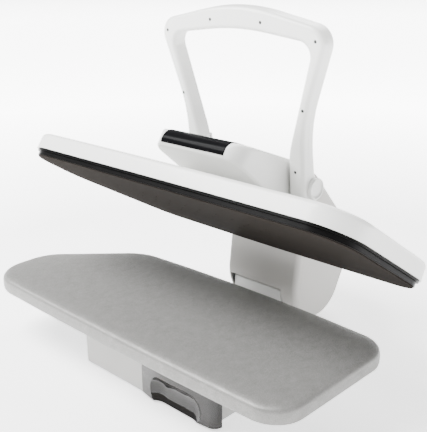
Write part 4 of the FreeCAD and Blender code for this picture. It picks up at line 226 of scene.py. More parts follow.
def shade(colour: Colour, factor: float) -> Colour:
    """The colour made darker or lighter by a factor."""
    return tuple(min(1.0, part * factor) for part in colour)


@dataclass(frozen=True)
class Moulded(Finish):
    """Moulded plastic: fine grain, slow colour drift, uneven gloss and faint rubbed spots."""

    colour: Colour
    rough: float
    spread: float = 0.06
    grain: float = 0.00002
    pitch: float = 1800.0
    drift: float = 0.03
    coat: float = 0.0
    level: float = 0.5
    rubbed_weight: float = 0.12
    rubbed_shade: float = 0.8

    def make(self) -> bpy.types.Material:
        """Makes the plastic's nodes."""
        bench = NodeBench(self.name)
        drifted = shade(self.colour, 1.0 - self.drift)
        tint = bench.ramp(bench.noise(scale=9.0), [(0.3, drifted), (0.7, self.colour)])
        spots = bench.noise(scale=70.0, detail=5.0, rough=0.7)
        rubbed = bench.between(spots, 0.0, 1.0, start=0.62, end=0.75)
        weight = bench.maths("MULTIPLY", rubbed, self.rubbed_weight)
        bench.wire("Base Color", bench.mixed(weight, tint, shade(self.colour, self.rubbed_shade)))
        gloss = bench.between(bench.noise(scale=40.0, detail=4.0), self.rough - self.spread,
                              self.rough + self.spread, start=0.25, end=0.75)
        bench.wire("Roughness", gloss)
        bench.wire("Normal", bench.bump(bench.noise(self.pitch, detail=1.0), self.grain, strength=0.5))
        bench.set(Coat_Weight=self.coat, Coat_Roughness=0.06, Specular_IOR_Level=self.level)
        return bench.material


@dataclass(frozen=True)
class Metal(Finish):
    """Metal with drawn or cast grain and cloudy tarnish."""

    colour: Colour
    rough: float
    scale: Triple
    grain: float = 0.00003
    tarnish: float = 0.25

    def make(self) -> bpy.types.Material:
        """Makes the metal's nodes."""
        bench = NodeBench(self.name)
        lines = bench.noise(scale=1.0, rough=0.6, vector=bench.stretched(self.scale))
        cloudy = bench.noise(scale=25.0, detail=4.0, rough=0.6)
        dull = shade(self.colour, 1.0 - self.tarnish)
        bench.wire("Base Color", bench.ramp(cloudy, [(0.3, dull), (0.65, self.colour)]))
        gloss = bench.between(cloudy, self.rough + 0.1, self.rough - 0.05, start=0.3, end=0.7)
        bench.wire("Roughness", gloss)
        bench.wire("Normal", bench.bump(lines, self.grain, strength=0.6))
        bench.set(Metallic=1.0)
        return bench.material


@dataclass(frozen=True)
class Heather(Finish):
    """Mottled grey cloth with a silvery coating: crossing threads, flecks, streaks and sheen."""

    dark: Colour = (0.125, 0.1235, 0.118)
    middle: Colour = (0.205, 0.203, 0.195)
    light: Colour = (0.3, 0.297, 0.286)
    thread: float = 260.0
    warp: float = 1.2
    fleck_share: float = 0.7
    metallic: float = 0.4

    def make(self) -> bpy.types.Material:
        """Makes the cloth's nodes."""
        bench = NodeBench(self.name)
        flecks = bench.noise(scale=420.0, detail=6.0, rough=0.75, vector=bench.stretched((1.0, 1.6, 1.3)))
        slanted = bench.stretched((1.0, 0.7, 1.0), turn=25.0)
        streaks = bench.noise(scale=60.0, detail=6.0, rough=0.75, vector=slanted)
        value = bench.maths("ADD", bench.maths("MULTIPLY", flecks, self.fleck_share),
                            bench.maths("MULTIPLY", streaks, 1.0 - self.fleck_share))
        stops = [(0.3, self.dark), (0.5, self.middle), (0.72, self.light)]
        bench.wire("Base Color", bench.ramp(value, stops))
        weave = bench.maths("MULTIPLY", bench.wave(self.thread, "X", self.warp),
                            bench.wave(self.thread, "Y", self.warp))
        coarse = bench.bump(bench.noise(scale=18.0), depth=0.0012, strength=0.35)
        fine = bench.bump(bench.maths("ADD", weave, flecks), depth=0.00022, strength=0.7, under=coarse)
        bench.wire("Normal", fine)
        bench.wire("Roughness", bench.between(value, 0.46, 0.36, start=0.35, end=0.65))
        bench.set(Metallic=self.metallic, Sheen_Weight=0.05, Sheen_Roughness=0.5, Specular_IOR_Level=0.2)
        return bench.material


@dataclass(frozen=True)
class Clear(Finish):
    """Clear or smoked moulding that lets light through, with faint flow marks."""

    colour: Colour
    rough: float
    through: float
    ripple: float
    pitch: float
    index: float = 1.49

    def make(self) -> bpy.types.Material:
        """Makes the clear plastic's nodes."""
        bench = NodeBench(self.name)
        slanted = bench.stretched((0.7, 1.0, 1.8), turn=12.0)
        flow = bench.noise(self.pitch, detail=2.0, rough=0.5, vector=slanted)
        bench.wire("Base Color", bench.ramp(flow, [(0.3, shade(self.colour, 0.85)), (0.7, self.colour)]))
        bench.wire("Roughness", bench.between(bench.noise(scale=30.0), self.rough, self.rough + 0.05))
        bench.wire("Normal", bench.bump(flow, self.ripple, strength=0.8))
        bench.set(Transmission_Weight=self.through, IOR=self.index, Specular_IOR_Level=0.15)
        return bench.material


@dataclass(frozen=True)
class PlateCoat(Finish):
    """Dark matt non-stick coating with fine speckle and cloudy wiping marks."""

    colour: Colour = (0.02, 0.0178, 0.016)
    fleck: Colour = (0.035, 0.032, 0.03)

    def make(self) -> bpy.types.Material:
        """Makes the coating's nodes."""
        bench = NodeBench(self.name)
        speckle = bench.noise(scale=900.0, detail=4.0, rough=0.8)
        clouds = bench.noise(scale=7.0, rough=0.5, vector=bench.stretched((0.6, 1.4, 1.0)))
        tint = bench.ramp(clouds, [(0.3, shade(self.colour, 0.85)), (0.7, shade(self.colour, 1.2))])
        share = bench.between(speckle, 0.0, 0.5, start=0.66, end=0.76)
        bench.wire("Base Color", bench.mixed(share, tint, self.fleck))
        bench.wire("Roughness", bench.between(clouds, 0.38, 0.5, start=0.3, end=0.7))
        bench.wire("Normal", bench.bump(speckle, depth=0.00003, strength=0.5))
        bench.set(Specular_IOR_Level=0.0001)
        return bench.material


@dataclass(frozen=True)
class Circuit(Finish):
    """Green circuit board with fine tracks."""

    colour: Colour = (0.03, 0.14, 0.07)
    track: Colour = (0.1, 0.3, 0.14)

    def make(self) -> bpy.types.Material:
        """Makes the board's nodes."""
        bench = NodeBench(self.name)
        lines = bench.wave(scale=90.0, direction="X", warp=6.0)
        tracks = bench.between(lines, 0.0, 1.0, start=0.7, end=0.8)
        tint = bench.ramp(bench.noise(scale=60.0), [(0.3, shade(self.colour, 0.8)), (0.7, self.colour)])
        bench.wire("Base Color", bench.mixed(tracks, tint, self.track))
        bench.wire("Roughness", bench.between(tracks, 0.5, 0.3))
        bench.wire("Normal", bench.bump(tracks, depth=0.00006))
        return bench.material


WHITE = Moulded("white satin moulding", "white_shell", colour=(0.7, 0.702, 0.685), rough=0.36, spread=0.05,
                grain=0.000012, pitch=2200.0, drift=0.015, coat=0.12)
SHADED = Moulded("light grey moulding", "grey_shell", colour=(0.58, 0.58, 0.565), rough=0.5, grain=0.00003,
                 pitch=1500.0)
# Darker copy of the white satin moulding: painted shade for the base housing, which sits under the board.
BASE_WHITE_PAINTED_SHADE = Moulded("satin white moulding with painted shade", "white_shell", colour=(0.42, 0.415, 0.4), rough=0.5,
                     grain=0.00003, pitch=1500.0, level=0.2)
# Darker, warmer copy of the white moulding: painted shade for the arm covers, which sit under the head.
ARM_WHITE_PAINTED_SHADE = Moulded("white moulding with painted shade", "white_shell", colour=(0.46, 0.45, 0.43), rough=0.5, pitch=1500.0,
               level=0.2)
GLOSS = Moulded("black gloss panel", "black_gloss", colour=(0.004, 0.004, 0.0045), rough=0.14, spread=0.03,
                grain=0.000004, pitch=900.0, drift=0.1, level=0.015)
BLACK = Moulded("black moulding", "black_plastic", colour=(0.03, 0.03, 0.031), rough=0.5, grain=0.00004,
                pitch=1400.0, drift=0.1)
KEYS = Moulded("grey key caps", "key_plastic", colour=(0.45, 0.46, 0.47), rough=0.4, spread=0.05,
               pitch=1600.0, drift=0.05)
CLOTH = Heather("mottled grey cloth", "cloth")
FOAM = Moulded("cushion foam", "foam", colour=(0.78, 0.75, 0.62), rough=0.95, spread=0.02, grain=0.0006,
               pitch=500.0, drift=0.12, level=0.1)
TRAY = Metal("tray sheet steel", "tray_steel", colour=(0.5, 0.51, 0.52), rough=0.42, grain=0.00002,
             scale=(30.0, 900.0, 30.0))
COATING = PlateCoat("plate coating", "plate_coating")
CAST = Metal("cast aluminium", "cast_aluminium", colour=(0.62, 0.62, 0.63), rough=0.55, grain=0.0002,
             scale=(500.0, 500.0, 500.0), tarnish=0.15)
STEEL = Metal("plated steel", "steel", colour=(0.56, 0.57, 0.58), rough=0.32, grain=0.00001,
              scale=(200.0, 1400.0, 200.0))
SPRING = Metal("spring steel", "spring_steel", colour=(0.3, 0.31, 0.33), rough=0.3, grain=0.00001,
               scale=(900.0, 300.0, 300.0))
BRASS = Metal("brass", "brass", colour=(0.72, 0.53, 0.25), rough=0.3, grain=0.00001,
              scale=(700.0, 700.0, 200.0))
GASKET = Moulded("black gasket", "gasket", colour=(0.004, 0.004, 0.004), rough=0.3, spread=0.05,
                 pitch=1300.0, drift=0.1, level=0.03)
RUBBER = Moulded("black rubber", "foot_rubber", colour=(0.02, 0.02, 0.02), rough=0.75, spread=0.08,
                 grain=0.00008, pitch=900.0, drift=0.15)
HOSE = Moulded("translucent hose", "hose", colour=(0.62, 0.6, 0.55), rough=0.4, spread=0.05, pitch=900.0,
               drift=0.06)
SMOKED = Clear("smoked tank", "smoked", colour=(0.07, 0.058, 0.048), rough=0.03, through=0.95, ripple=0.002,
               pitch=18.0)
WINDOW = Clear("display window", "window", colour=(0.05, 0.05, 0.055), rough=0.06, through=0.5,
               ripple=0.00002, pitch=200.0)
CIRCUIT = Circuit("circuit board", "circuit")
SCREW = Metal("dark screw steel", "screw_steel", colour=(0.06, 0.06, 0.062), rough=0.4,
              scale=(900.0, 900.0, 900.0))
LAMP = Clear("lamp lens", "lamp", colour=(0.9, 0.35, 0.08), rough=0.2, through=0.4, ripple=0.00001,
             pitch=500.0)
FINISHES = {finish.slot: finish for finish in (
    WHITE, SHADED, GLOSS, BLACK, KEYS, CLOTH, FOAM, TRAY, COATING, CAST, STEEL, SPRING, BRASS, GASKET,
    RUBBER, HOSE, SMOKED, WINDOW, CIRCUIT, SCREW, LAMP)}


# Places

@dataclass(frozen=True)
class Stance:
    """Ties the maker's measures, in millimetres with the press shut, to the shared frame.

    The nose is the front edge of the pod's sloping top and the grip the foot of the handle's front face;
    both heights are over the plate's face. Angles are in degrees.
    """

    middle_x: float = -2.03
    front_y: float = -310.157
    hinge_y: float = 464.5
    hinge_z: float = 45.0
    open_angle: float = 32.7
    plate_face: float = 137.2
    pivot_y: float = 253.0
    pivot_z: float = 262.7
    nose_y: float = 49.0
    nose_high: float = 129.0
    deck_rise: float = 44.0
    deck_run: float = 216.0
    grip_lean: float = 38.2
    grip_y: float = 127.0
    grip_high: float = 232.9

    def fixed(self) -> Matrix:
        """Places what stands on the base."""
        return Matrix.Diagonal((MM, MM, MM, 1.0)) @ Matrix.Translation((self.middle_x, self.front_y, 0.0))

    def lifted(self) -> Matrix:
        """Places what the arm carries, turned open about the hinge."""
        hinge = Vector((0.0, self.hinge_y, self.hinge_z))
        turn = Matrix.Rotation(-math.radians(self.open_angle), 4, "X")
        return self.fixed() @ Matrix.Translation(hinge) @ turn @ Matrix.Translation(-hinge)

    def deck(self) -> Matrix:
        """Places what lies on the pod's sloping top: x, distance back and height over it."""
        nose = Matrix.Translation((0.0, self.nose_y, self.plate_face + self.nose_high))
        return self.lifted() @ nose @ Matrix.Rotation(math.atan2(self.deck_rise, self.deck_run), 4, "X")

    def grip(self) -> Matrix:
        """Places what lies on the handle's front face: x, distance up and height over it."""
        lean = math.radians(self.grip_lean)
        up, out = (0.0, -math.sin(lean), math.cos(lean)), (0.0, -math.cos(lean), -math.sin(lean))
        way = Matrix(((1.0, 0.0, 0.0), up, out)).transposed()
        foot = Matrix.Translation((0.0, self.grip_y, self.plate_face + self.grip_high))
        return self.lifted() @ foot @ way.to_4x4()


STANCE = Stance()


class Body(Enum):
    """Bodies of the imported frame."""

    BASE = "base"
    TANK = "tank"
    ARM = "arm"
    HEAD = "head"
    POWER = "power_button"
    DOWN = "temp_down_button"
    UP = "temp_up_button"
    STEAM = "steam_button"


# Mesh tools: the radius and the drum's merging distance are in millimetres, the copy's merging distance is
# in metres and its crisp angle in degrees

SMALLEST_RADIUS = 0.2
DRUM_MERGE = 1e-4
COPY_MERGE = 2e-6
COPY_CRISP = 28.0


def moved_corners(corners: Sequence[Corner], amount: float) -> list[Corner]:
    """Moves an outline outwards.

    Args:
        corners: (u, v, radius) anticlockwise.
        amount: distance in millimetres, inwards when negative.

    Returns:
        The moved corners, each with its radius grown or shrunk to match.
    """
    result = []
    for index, (u, v, radius) in enumerate(corners):
        here = Vector((u, v))
        way_in = (here - Vector(corners[index - 1][:2])).normalized()
        way_on = (Vector(corners[(index + 1) % len(corners)][:2]) - here).normalized()
        normal_in, normal_on = Vector((way_in.y, -way_in.x)), Vector((way_on.y, -way_on.x))
        shift = (normal_in + normal_on) * (amount / (1.0 + normal_in.dot(normal_on)))
        sign = 1.0 if way_in.cross(way_on) > 0 else -1.0
        result.append((u + shift.x, v + shift.y, max(radius + sign * amount, SMALLEST_RADIUS)))
    return result


def outline_face(bm: bmesh.types.BMesh, corners: Sequence[Corner], level: float,
                 steps: int) -> bmesh.types.BMFace:
    """Makes a flat face and rounds its corners with vertex bevels.

    Args:
        bm: the mesh.
        corners: (u, v, radius) anticlockwise.
        level: the face's height.
        steps: segments of each rounded corner.

    Returns:
        The face.
    """
    points = [Vector((u, v, level)) for u, v, _ in corners]
    verts = [bm.verts.new(point) for point in points]
    face = bm.faces.new(verts)
    for index, (vert, (_, _, radius)) in enumerate(zip(verts, corners)):
        way_in = (points[index] - points[index - 1]).normalized()
        way_on = (points[(index + 1) % len(points)] - points[index]).normalized()
        reach = radius * math.tan(way_in.angle(way_on) / 2)
        made = bmesh.ops.bevel(bm, geom=[vert], offset=reach, offset_type="OFFSET", segments=steps,
                               profile=0.5, affect="VERTICES", material=-1, clamp_overlap=False)
        if not face.is_valid:
            face = next(f for f in (made["faces"] or bm.faces) if f.is_valid)
    return face


def stacked(bm: bmesh.types.BMesh, corners: Sequence[Corner], layers: Sequence[Pair], steps: int,
            low_cap: bool = True) -> None:
    """Skins a stack of grown outlines.

    Args:
        bm: the mesh.
        corners: the outline.
        layers: (grow, height) from first to last.
        steps: segments of each rounded corner.
        low_cap: keeps a face on the first layer.
    """
    faces = []
    for grow, level in layers:
        part = bmesh.new()
        outline_face(part, moved_corners(corners, grow), level, steps)
        mesh = bpy.data.meshes.new("layer")
        part.to_mesh(mesh)
        part.free()
        before = set(bm.faces)
        bm.from_mesh(mesh)
        bpy.data.meshes.remove(mesh)
        faces.append(next(f for f in bm.faces if f not in before))
    for first, second in zip(faces, faces[1:]):
        bmesh.ops.bridge_loops(bm, edges=list(first.edges) + list(second.edges))
    drop = faces[1:-1] + ([] if low_cap else [faces[0]])
    bmesh.ops.delete(bm, geom=drop, context="FACES_ONLY")
    bmesh.ops.recalc_face_normals(bm, faces=bm.faces[:])


def drum(bm: bmesh.types.BMesh, profile: Sequence[Pair], steps: int,
         centre: Sequence[float] = (0.0, 0.0, 0.0)) -> None:
    """Spins an open profile of (radius, height) about the z axis.

    Args:
        bm: the mesh.
        profile: points from the axis or rim to the other end.
        steps: segments of the turn.
        centre: where the axis stands.
    """
    verts = [bm.verts.new((radius, 0.0, level)) for radius, level in profile]
    edges = [bm.edges.new(pair) for pair in zip(verts, verts[1:])]
    bmesh.ops.spin(bm, geom=verts + edges, cent=(0.0, 0.0, 0.0), axis=(0.0, 0.0, 1.0), angle=2 * math.pi,
                   steps=steps, use_merge=True)
    bmesh.ops.remove_doubles(bm, verts=bm.verts[:], dist=DRUM_MERGE)
    bmesh.ops.translate(bm, verts=bm.verts[:], vec=Vector(centre))
    bmesh.ops.recalc_face_normals(bm, faces=bm.faces[:])


def joined(target: bmesh.types.BMesh, source: bmesh.types.BMesh,
           place: Matrix = Matrix.Identity(4)) -> None:
    """Adds a mesh to another at a place and frees it."""
    bmesh.ops.transform(source, matrix=place, verts=source.verts[:])
    mesh = bpy.data.meshes.new("joined")
    source.to_mesh(mesh)
    source.free()
    target.from_mesh(mesh)
    bpy.data.meshes.remove(mesh)


def softened(bm: bmesh.types.BMesh, angle: float) -> None:
    """Shades smoothly and keeps edges sharper than an angle in degrees crisp."""
    limit = math.radians(angle)
    for face in bm.faces:
        face.smooth = True
    for edge in bm.edges:
        edge.smooth = len(edge.link_faces) == 2 and edge.calc_face_angle(0.0) < limit


@dataclass
class Piece:
    """One dressed piece and how it goes into the frame."""

    name: str
    body: Body
    finish: Finish
    nodes: tuple[str, ...]
    crisp: float = 32.0

    def place(self, bm: bmesh.types.BMesh, where: Matrix) -> bpy.types.Object:
        """Puts a mesh into the frame as this piece.

        Args:
            bm: the mesh in the maker's measures; it is freed.
            where: the matrix to the shared frame.

        Returns:
            The new object.
        """
        bmesh.ops.transform(bm, matrix=where, verts=bm.verts[:])
        if where.determinant() < 0:
            bmesh.ops.reverse_faces(bm, faces=bm.faces[:])
        softened(bm, self.crisp)
        mesh = bpy.data.meshes.new(self.name)
        bm.to_mesh(mesh)
        bm.free()
        mesh.materials.append(self.finish.made())
        made = bpy.data.objects.new(self.name, mesh)
        bpy.context.scene.collection.objects.link(made)
        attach(made, self.body.value)
        if self.nodes:
            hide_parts(*self.nodes)
        LOG.info("%s: %d faces on %s", self.name, len(mesh.polygons), self.body.value)
        return made


def smooth_copy(node: str, body: Body, finish: Finish) -> bpy.types.Object:
    """Stands a smoothly shaded copy of a CAD shell in for the node.

    Args:
        node: the CAD node.
        body: the body that it rides on.
        finish: its finish.

    Returns:
        The copy.
    """
    bm = bmesh.new()
    bm.from_mesh(frame["nodes"][node].data)
    bmesh.ops.remove_doubles(bm, verts=bm.verts[:], dist=COPY_MERGE)
    piece = Piece(node + "_shell", body, finish, (node,), crisp=COPY_CRISP)
    return piece.place(bm, Matrix.Identity(4))


# Sub-assemblies

@dataclass
class Board:
    """Padded board with its cloth, in millimetres.

    The walls and crowns are rows of (grow, height): the cloth's wall over the board's low side, the pad's
    over the pad's floor, and each crown over its own top. The rounds and bends are radii of the outline.
    """

    half: float = 400.0
    depth: float = 306.0
    left_round: float = 80.0
    right_round: float = 60.0
    flare: float = 5.0
    front_bow: float = 8.5
    front_bend: float = 12000.0
    rear_bow: float = 20.0
    rear_bend: float = 3500.0
    rear_crest: float = 330.0
    cut_wide: float = 160.0
    cut_round: float = 95.0
    side: float = 146.0
    low: float = 103.6
    top: float = 134.0
    steps: int = 20
    crisp: float = 60.0
    cloth_wall: tuple[Pair, ...] = ((-28.0, 0.9), (-16.0, 0.2), (-4.0, 0.0), (-1.0, 1.5), (0.0, 6.0),
                                    (0.4, 13.0), (0.0, 20.0))
    cloth_crown: tuple[Pair, ...] = ((-1.2, -5.5), (-3.6, -2.9), (-8.0, -1.3), (-18.0, -0.5), (-42.0, 0.0),
                                     (-75.0, 0.3))
    cloth_thick: float = 1.2
    hem_middle: float = 150.0
    hem_high: float = 12.0
    hem_swell: float = 0.5
    hem_pitch: float = 0.06
    pad_floor: float = 2.9
    pad_drop: float = 1.4
    pad_wall: tuple[Pair, ...] = ((-9.5, 0.0), (-8.5, 4.0), (-8.9, 13.0))
    pad_crown: tuple[Pair, ...] = ((-4.4, -8.0), (-4.6, -5.4), (-7.0, -2.9), (-11.4, -1.3), (-20.0, -0.5),
                                   (-44.0, 0.0))

    def corners(self) -> list[Corner]:
        """The board's plan outline, from its front left corner round by the right."""
        half, depth = self.half, self.depth
        return [(-half, 0.0, self.left_round), (0.0, -self.front_bow, self.front_bend),
                (half, 0.0, self.right_round), (half + self.flare, depth, self.right_round),
                (half - self.rear_crest, depth + self.rear_bow, self.rear_bend),
                (self.cut_wide - half, depth, self.cut_round), (-half, self.side, self.left_round)]

    def cloth(self) -> bpy.types.Object:
        """Makes the cloth, drawn tight over the pad and hemmed under the tray."""
        bm = bmesh.new()
        layers = [(grow, self.low + rise) for grow, rise in self.cloth_wall]
        layers += [(grow, self.top + rise) for grow, rise in self.cloth_crown]
        stacked(bm, self.corners(), layers, self.steps, low_cap=False)
        for vert in bm.verts:
            low_share = max(0.0, 1.0 - (vert.co.z - self.low) / self.hem_high)
            away = Vector((vert.co.x, vert.co.y - self.hem_middle, 0.0)).normalized()
            vert.co += away * low_share * self.hem_swell * noise.noise(vert.co * self.hem_pitch)
        piece = Piece("board_cloth", Body.BASE, CLOTH, ("board_cover",), self.crisp)
        cloth = piece.place(bm, STANCE.fixed())
        wall = cloth.modifiers.new("thickness", "SOLIDIFY")
        wall.thickness, wall.offset = self.cloth_thick * MM, -1.0
        return cloth

    def pad(self) -> bpy.types.Object:
        """Makes the foam pad with its crown and drawn-in sides."""
        floor, top = self.low + self.pad_floor, self.top - self.pad_drop
        bm = bmesh.new()
        layers = [(grow, floor + rise) for grow, rise in self.pad_wall]
        layers += [(grow, top + rise) for grow, rise in self.pad_crown]
        stacked(bm, self.corners(), layers, self.steps)
        piece = Piece("board_pad_foam", Body.BASE, FOAM, ("board_pad",), self.crisp)
        pad = piece.place(bm, STANCE.fixed())
        return pad

    def build(self) -> None:
        """Builds the board's pieces."""
        self.pad()
        self.cloth()


@dataclass
class HeadShells:
    """Thin white cover of the head, its black gasket and the heating plate."""

    def build(self) -> None:
        """Builds the head's shells."""
        smooth_copy("head_cover", Body.HEAD, WHITE)
        smooth_copy("gasket_ring", Body.HEAD, GASKET)
        smooth_copy("heating_plate", Body.HEAD, COATING)


@dataclass
class Pod:
    """Control pod with its gloss panel and its keys' signs.

    Lengths are in millimetres on the deck, and the rings' radii are shares of the signs' size.
    """

    outer_key: float = 62.0
    inner_key: float = 36.0
    key_back: float = 63.3
    key_top: float = 2.9
    sign_size: float = 3.2
    sign_stroke: float = 0.45
    sign_rise: float = 0.08
    power_ring: float = 0.7
    steam_rings: Pair = (0.85, 0.3)
    ring_steps: int = 24

    def stroke(self, bm: bmesh.types.BMesh, x: float, y: float, wide: float, deep: float) -> None:
        """Adds one straight stroke of a sign at a place over the panel."""
        place = Matrix.Translation((x, self.key_back + y, self.key_top))
        size = Matrix.Diagonal((wide, deep, 2 * self.sign_rise, 1.0))
        bmesh.ops.create_cube(bm, size=1.0, matrix=place @ size)

    def ring(self, bm: bmesh.types.BMesh, x: float, radius: float) -> None:
        """Adds a ring, the sign of power or steam, at a place over the panel."""
        inner, outer, rise = radius - self.sign_stroke, radius + self.sign_stroke, self.sign_rise
        profile = [(inner, -rise), (outer, -rise), (outer, rise), (inner, rise), (inner, -rise)]
        loop = bmesh.new()
        drum(loop, profile, self.ring_steps, (x, self.key_back, self.key_top))
        joined(bm, loop)

    def signs(self) -> None:
        """Prints a plain sign on each key: a ring with a bar, a minus, a plus and a ring in a ring."""
        size, wide = self.sign_size, 2 * self.sign_stroke
        power, minus, plus, steam = bmesh.new(), bmesh.new(), bmesh.new(), bmesh.new()
        self.ring(power, -self.outer_key, self.power_ring * size)
        self.stroke(power, -self.outer_key, self.power_ring * size, wide, size)
        self.stroke(minus, -self.inner_key, 0.0, 2 * size, wide)
        self.stroke(plus, self.inner_key, 0.0, 2 * size, wide)
        self.stroke(plus, self.inner_key, 0.0, wide, 2 * size)
        for share in self.steam_rings:
            self.ring(steam, self.outer_key, share * size)
        for body, bm in ((Body.POWER, power), (Body.DOWN, minus), (Body.UP, plus), (Body.STEAM, steam)):
            Piece(body.value + "_sign", body, BLACK, nodes=()).place(bm, STANCE.deck())

    def build(self) -> None:
        """Builds the pod's shells and the signs."""
        smooth_copy("pod_housing", Body.HEAD, WHITE)
        smooth_copy("control_panel", Body.HEAD, GLOSS)
        self.signs()


@dataclass
class Handle:
    """Hoop handle with its screws and pivot caps, in millimetres.

    The screws are (x, distance up) on the handle's face and their profile is (radius, height). A cap
    reaches from its low to its high distance from the press's middle; its dish is (radius, height) and its
    rim (grow, height), with heights over the high end.
    """

    screws: tuple[Pair, ...] = ((63.3, 154.2), (186.2, 127.5), (155.0, 0.0), (134.5, -123.1))
    screw_profile: tuple[Pair, ...] = ((0.0, -1.2), (0.7, -1.2), (1.0, -0.4), (2.6, -0.55), (3.1, -1.0),
                                       (3.2, -31.0), (0.0, -31.0))
    screw_steps: int = 20
    cap_radius: float = 21.5
    cap_low: float = 154.0
    cap_high: float = 163.0
    cap_dish: tuple[Pair, ...] = ((0.0, -3.6), (8.0, -3.4))
    cap_rim: tuple[Pair, ...] = ((-7.5, -3.0), (-4.8, -2.0), (-3.9, -0.7), (-3.0, -0.1), (-1.9, 0.0),
                                 (-0.7, -0.4), (0.0, -1.6))
    cap_steps: int = 56
    cap_crisp: float = 40.0

    def heads(self) -> None:
        """Makes the round-headed screws, sunk in the handle's front face."""
        bm = bmesh.new()
        for side in (-1.0, 1.0):
            for x, up in self.screws:
                head = bmesh.new()
                drum(head, self.screw_profile, self.screw_steps)
                joined(bm, head, Matrix.Translation((side * x, up, 0.0)))
        Piece("handle_screw_heads", Body.HEAD, SCREW, ("handle_screws",)).place(bm, STANCE.grip())

    def caps(self) -> None:
        """Makes the round caps over the pivot bolts: a raised rim round a shallow dish."""
        profile = [(radius, self.cap_high + rise) for radius, rise in self.cap_dish]
        profile += [(self.cap_radius + grow, self.cap_high + rise) for grow, rise in self.cap_rim]
        profile.append((self.cap_radius, self.cap_low))
        pivot = Matrix.Translation((0.0, STANCE.pivot_y, STANCE.pivot_z))
        bm = bmesh.new()
        for side in (-1.0, 1.0):
            cap = bmesh.new()
            drum(cap, profile, self.cap_steps)
            joined(bm, cap, pivot @ Matrix.Rotation(side * math.pi / 2, 4, "Y"))
        piece = Piece("pivot_cap_shells", Body.HEAD, WHITE, ("pivot_caps",), self.cap_crisp)
        piece.place(bm, STANCE.lifted())

    def build(self) -> None:
        """Builds the handle's pieces."""
        smooth_copy("handle_front_shell", Body.HEAD, WHITE)
        smooth_copy("handle_rear_shell", Body.HEAD, WHITE)
        self.heads()
        self.caps()


@dataclass
class Arm:
    """Arm shells with the drum, and the hinge cover in its slot."""

    def build(self) -> None:
        """Builds the arm's shells."""
        smooth_copy("arm_rear_cover", Body.ARM, ARM_WHITE_PAINTED_SHADE)
        smooth_copy("arm_front_cover", Body.ARM, ARM_WHITE_PAINTED_SHADE)
        smooth_copy("hinge_cover", Body.BASE, WHITE)


@dataclass
class Base:
    """Base housing and water tank."""

    def build(self) -> None:
        """Builds the base's shells."""
        smooth_copy("base_housing", Body.BASE, BASE_WHITE_PAINTED_SHADE)
        smooth_copy("water_tank", Body.TANK, SMOKED)


@dataclass
class InnerParts:
    """CAD nodes that keep their shape and get a better material."""

    slots: dict[str, str] = field(default_factory=lambda: {
        part["node"]: part["material_slot"] for part in frame["record"]["subparts"]})

    def dress(self) -> None:
        """Gives each CAD node that is still shown its finish."""
        for name, node in frame["nodes"].items():
            if node.hide_render:
                continue
            finish = FINISHES[self.slots[name]].made()
            if node.material_slots:
                for slot in node.material_slots:
                    slot.material = finish
            else:
                node.data.materials.append(finish)
            LOG.info("%s: kept, %s", name, finish.name)


@dataclass(frozen=True)
class Light:
    """A square soft light: its place and aim in metres, its side in metres and its power in watts."""

    name: str
    place: Triple
    aim: Triple
    size: float
    power: float

    def hang(self) -> None:
        """Hangs the light."""
        data = bpy.data.lights.new(self.name, "AREA")
        data.size, data.energy = self.size, self.power
        made = bpy.data.objects.new(self.name, data)
        turn = (Vector(self.aim) - Vector(self.place)).to_track_quat("-Z", "Y")
        made.matrix_world = Matrix.Translation(self.place) @ turn.to_matrix().to_4x4()
        bpy.context.scene.collection.objects.link(made)


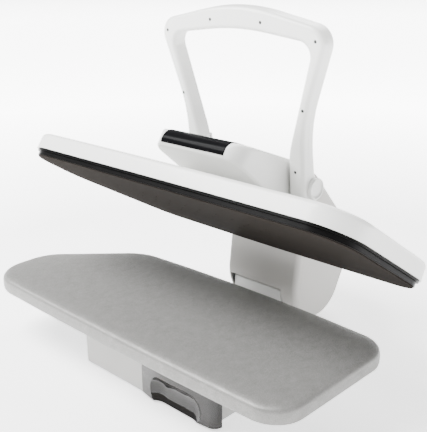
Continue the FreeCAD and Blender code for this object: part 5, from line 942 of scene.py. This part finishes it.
@dataclass
class Studio:
    """Pale floor that glows brighter away from the press, soft lights and the photograph's camera.

    Lengths are in metres and angles in degrees. The glow rises from the first to the second near value
    between the two near distances, and the far values fade it between the far distances.
    """

    place: Triple = (0.95794, -1.04372, 0.76119)
    azimuth: float = 43.62
    pitch: float = 19.65
    roll: float = -0.32
    lens: float = 62.32
    sensor: float = 36.0
    shift: Pair = (0.0068, 0.0206)
    clip: Pair = (0.05, 50.0)
    floor_half: float = 40.0
    floor_pitch: float = 3.0
    floor_shades: Pair = (0.93, 0.95)
    near_glow: Pair = (1.5, 8.0)
    near_span: Pair = (0.9, 2.8)
    far_fade: Pair = (1.0, 0.008)
    far_span: Pair = (10.0, 36.0)
    sky: float = 0.75
    lights: tuple[Light, ...] = (
        Light("key light", (-1.3, -1.2, 2.6), (0.0, 0.0, 0.3), size=1.8, power=330.0),
        Light("side light", (2.6, -0.4, 1.5), (0.0, 0.1, 0.3), size=1.4, power=6.0),
        Light("rear light", (-0.6, 2.4, 2.6), (0.0, 0.0, 0.4), size=2.0, power=140.0))

    def camera(self) -> None:
        """Makes the camera at the photograph's viewpoint."""
        turn, nod, lean = (math.radians(angle) for angle in (self.azimuth, self.pitch, self.roll))
        ahead = Vector((-math.sin(turn) * math.cos(nod), math.cos(turn) * math.cos(nod), -math.sin(nod)))
        right = Vector((math.cos(turn), math.sin(turn), 0.0))
        up = right.cross(ahead)
        across = right * math.cos(lean) + up * math.sin(lean)
        above = up * math.cos(lean) - right * math.sin(lean)
        data = bpy.data.cameras.new("camera")
        data.lens, data.sensor_width, data.sensor_fit = self.lens, self.sensor, "HORIZONTAL"
        data.shift_x, data.shift_y = self.shift
        data.clip_start, data.clip_end = self.clip
        made = bpy.data.objects.new("camera", data)
        turned = Matrix((across, above, -ahead)).transposed()
        made.matrix_world = Matrix.Translation(self.place) @ turned.to_4x4()
        bpy.context.scene.collection.objects.link(made)
        bpy.context.scene.camera = made

    def floor_material(self) -> bpy.types.Material:
        """Makes the floor's pale, glowing material."""
        bench = NodeBench("pale floor")
        low, high = ((value, value, value) for value in self.floor_shades)
        bench.wire("Base Color", bench.ramp(bench.noise(self.floor_pitch), [(0.3, low), (0.7, high)]))
        apart = bench.nodes.new("ShaderNodeVectorMath")
        apart.operation = "LENGTH"
        bench.links.new(bench.coords, apart.inputs[0])
        near = bench.between(apart.outputs["Value"], *self.near_glow, *self.near_span)
        far = bench.between(apart.outputs["Value"], *self.far_fade, *self.far_span)
        bench.wire("Emission Strength", bench.maths("MULTIPLY", near, far))
        bench.set(Roughness=0.8, Specular_IOR_Level=0.1, Emission_Color=(1.0, 1.0, 1.0, 1.0))
        return bench.material

    def floor(self) -> None:
        """Makes the floor."""
        bm = bmesh.new()
        bmesh.ops.create_grid(bm, x_segments=1, y_segments=1, size=self.floor_half)
        mesh = bpy.data.meshes.new("floor")
        bm.to_mesh(mesh)
        bm.free()
        mesh.materials.append(self.floor_material())
        made = bpy.data.objects.new("floor", mesh)
        bpy.context.scene.collection.objects.link(made)

    def build(self) -> None:
        """Builds the studio."""
        self.camera()
        self.floor()
        world = bpy.data.worlds.new("studio")
        world.use_nodes = True
        background = world.node_tree.nodes["Background"]
        background.inputs["Color"].default_value = (1.0, 1.0, 1.0, 1.0)
        background.inputs["Strength"].default_value = self.sky
        bpy.context.scene.world = world
        for light in self.lights:
            light.hang()


def main() -> None:
    """Builds the studio and each sub-assembly."""
    logging.basicConfig(level=logging.INFO, format="%(message)s")
    Studio().build()
    for assembly in (Board(), HeadShells(), Pod(), Handle(), Arm(), Base()):
        assembly.build()
    InnerParts().dress()


if __name__ == "__main__":
    main()
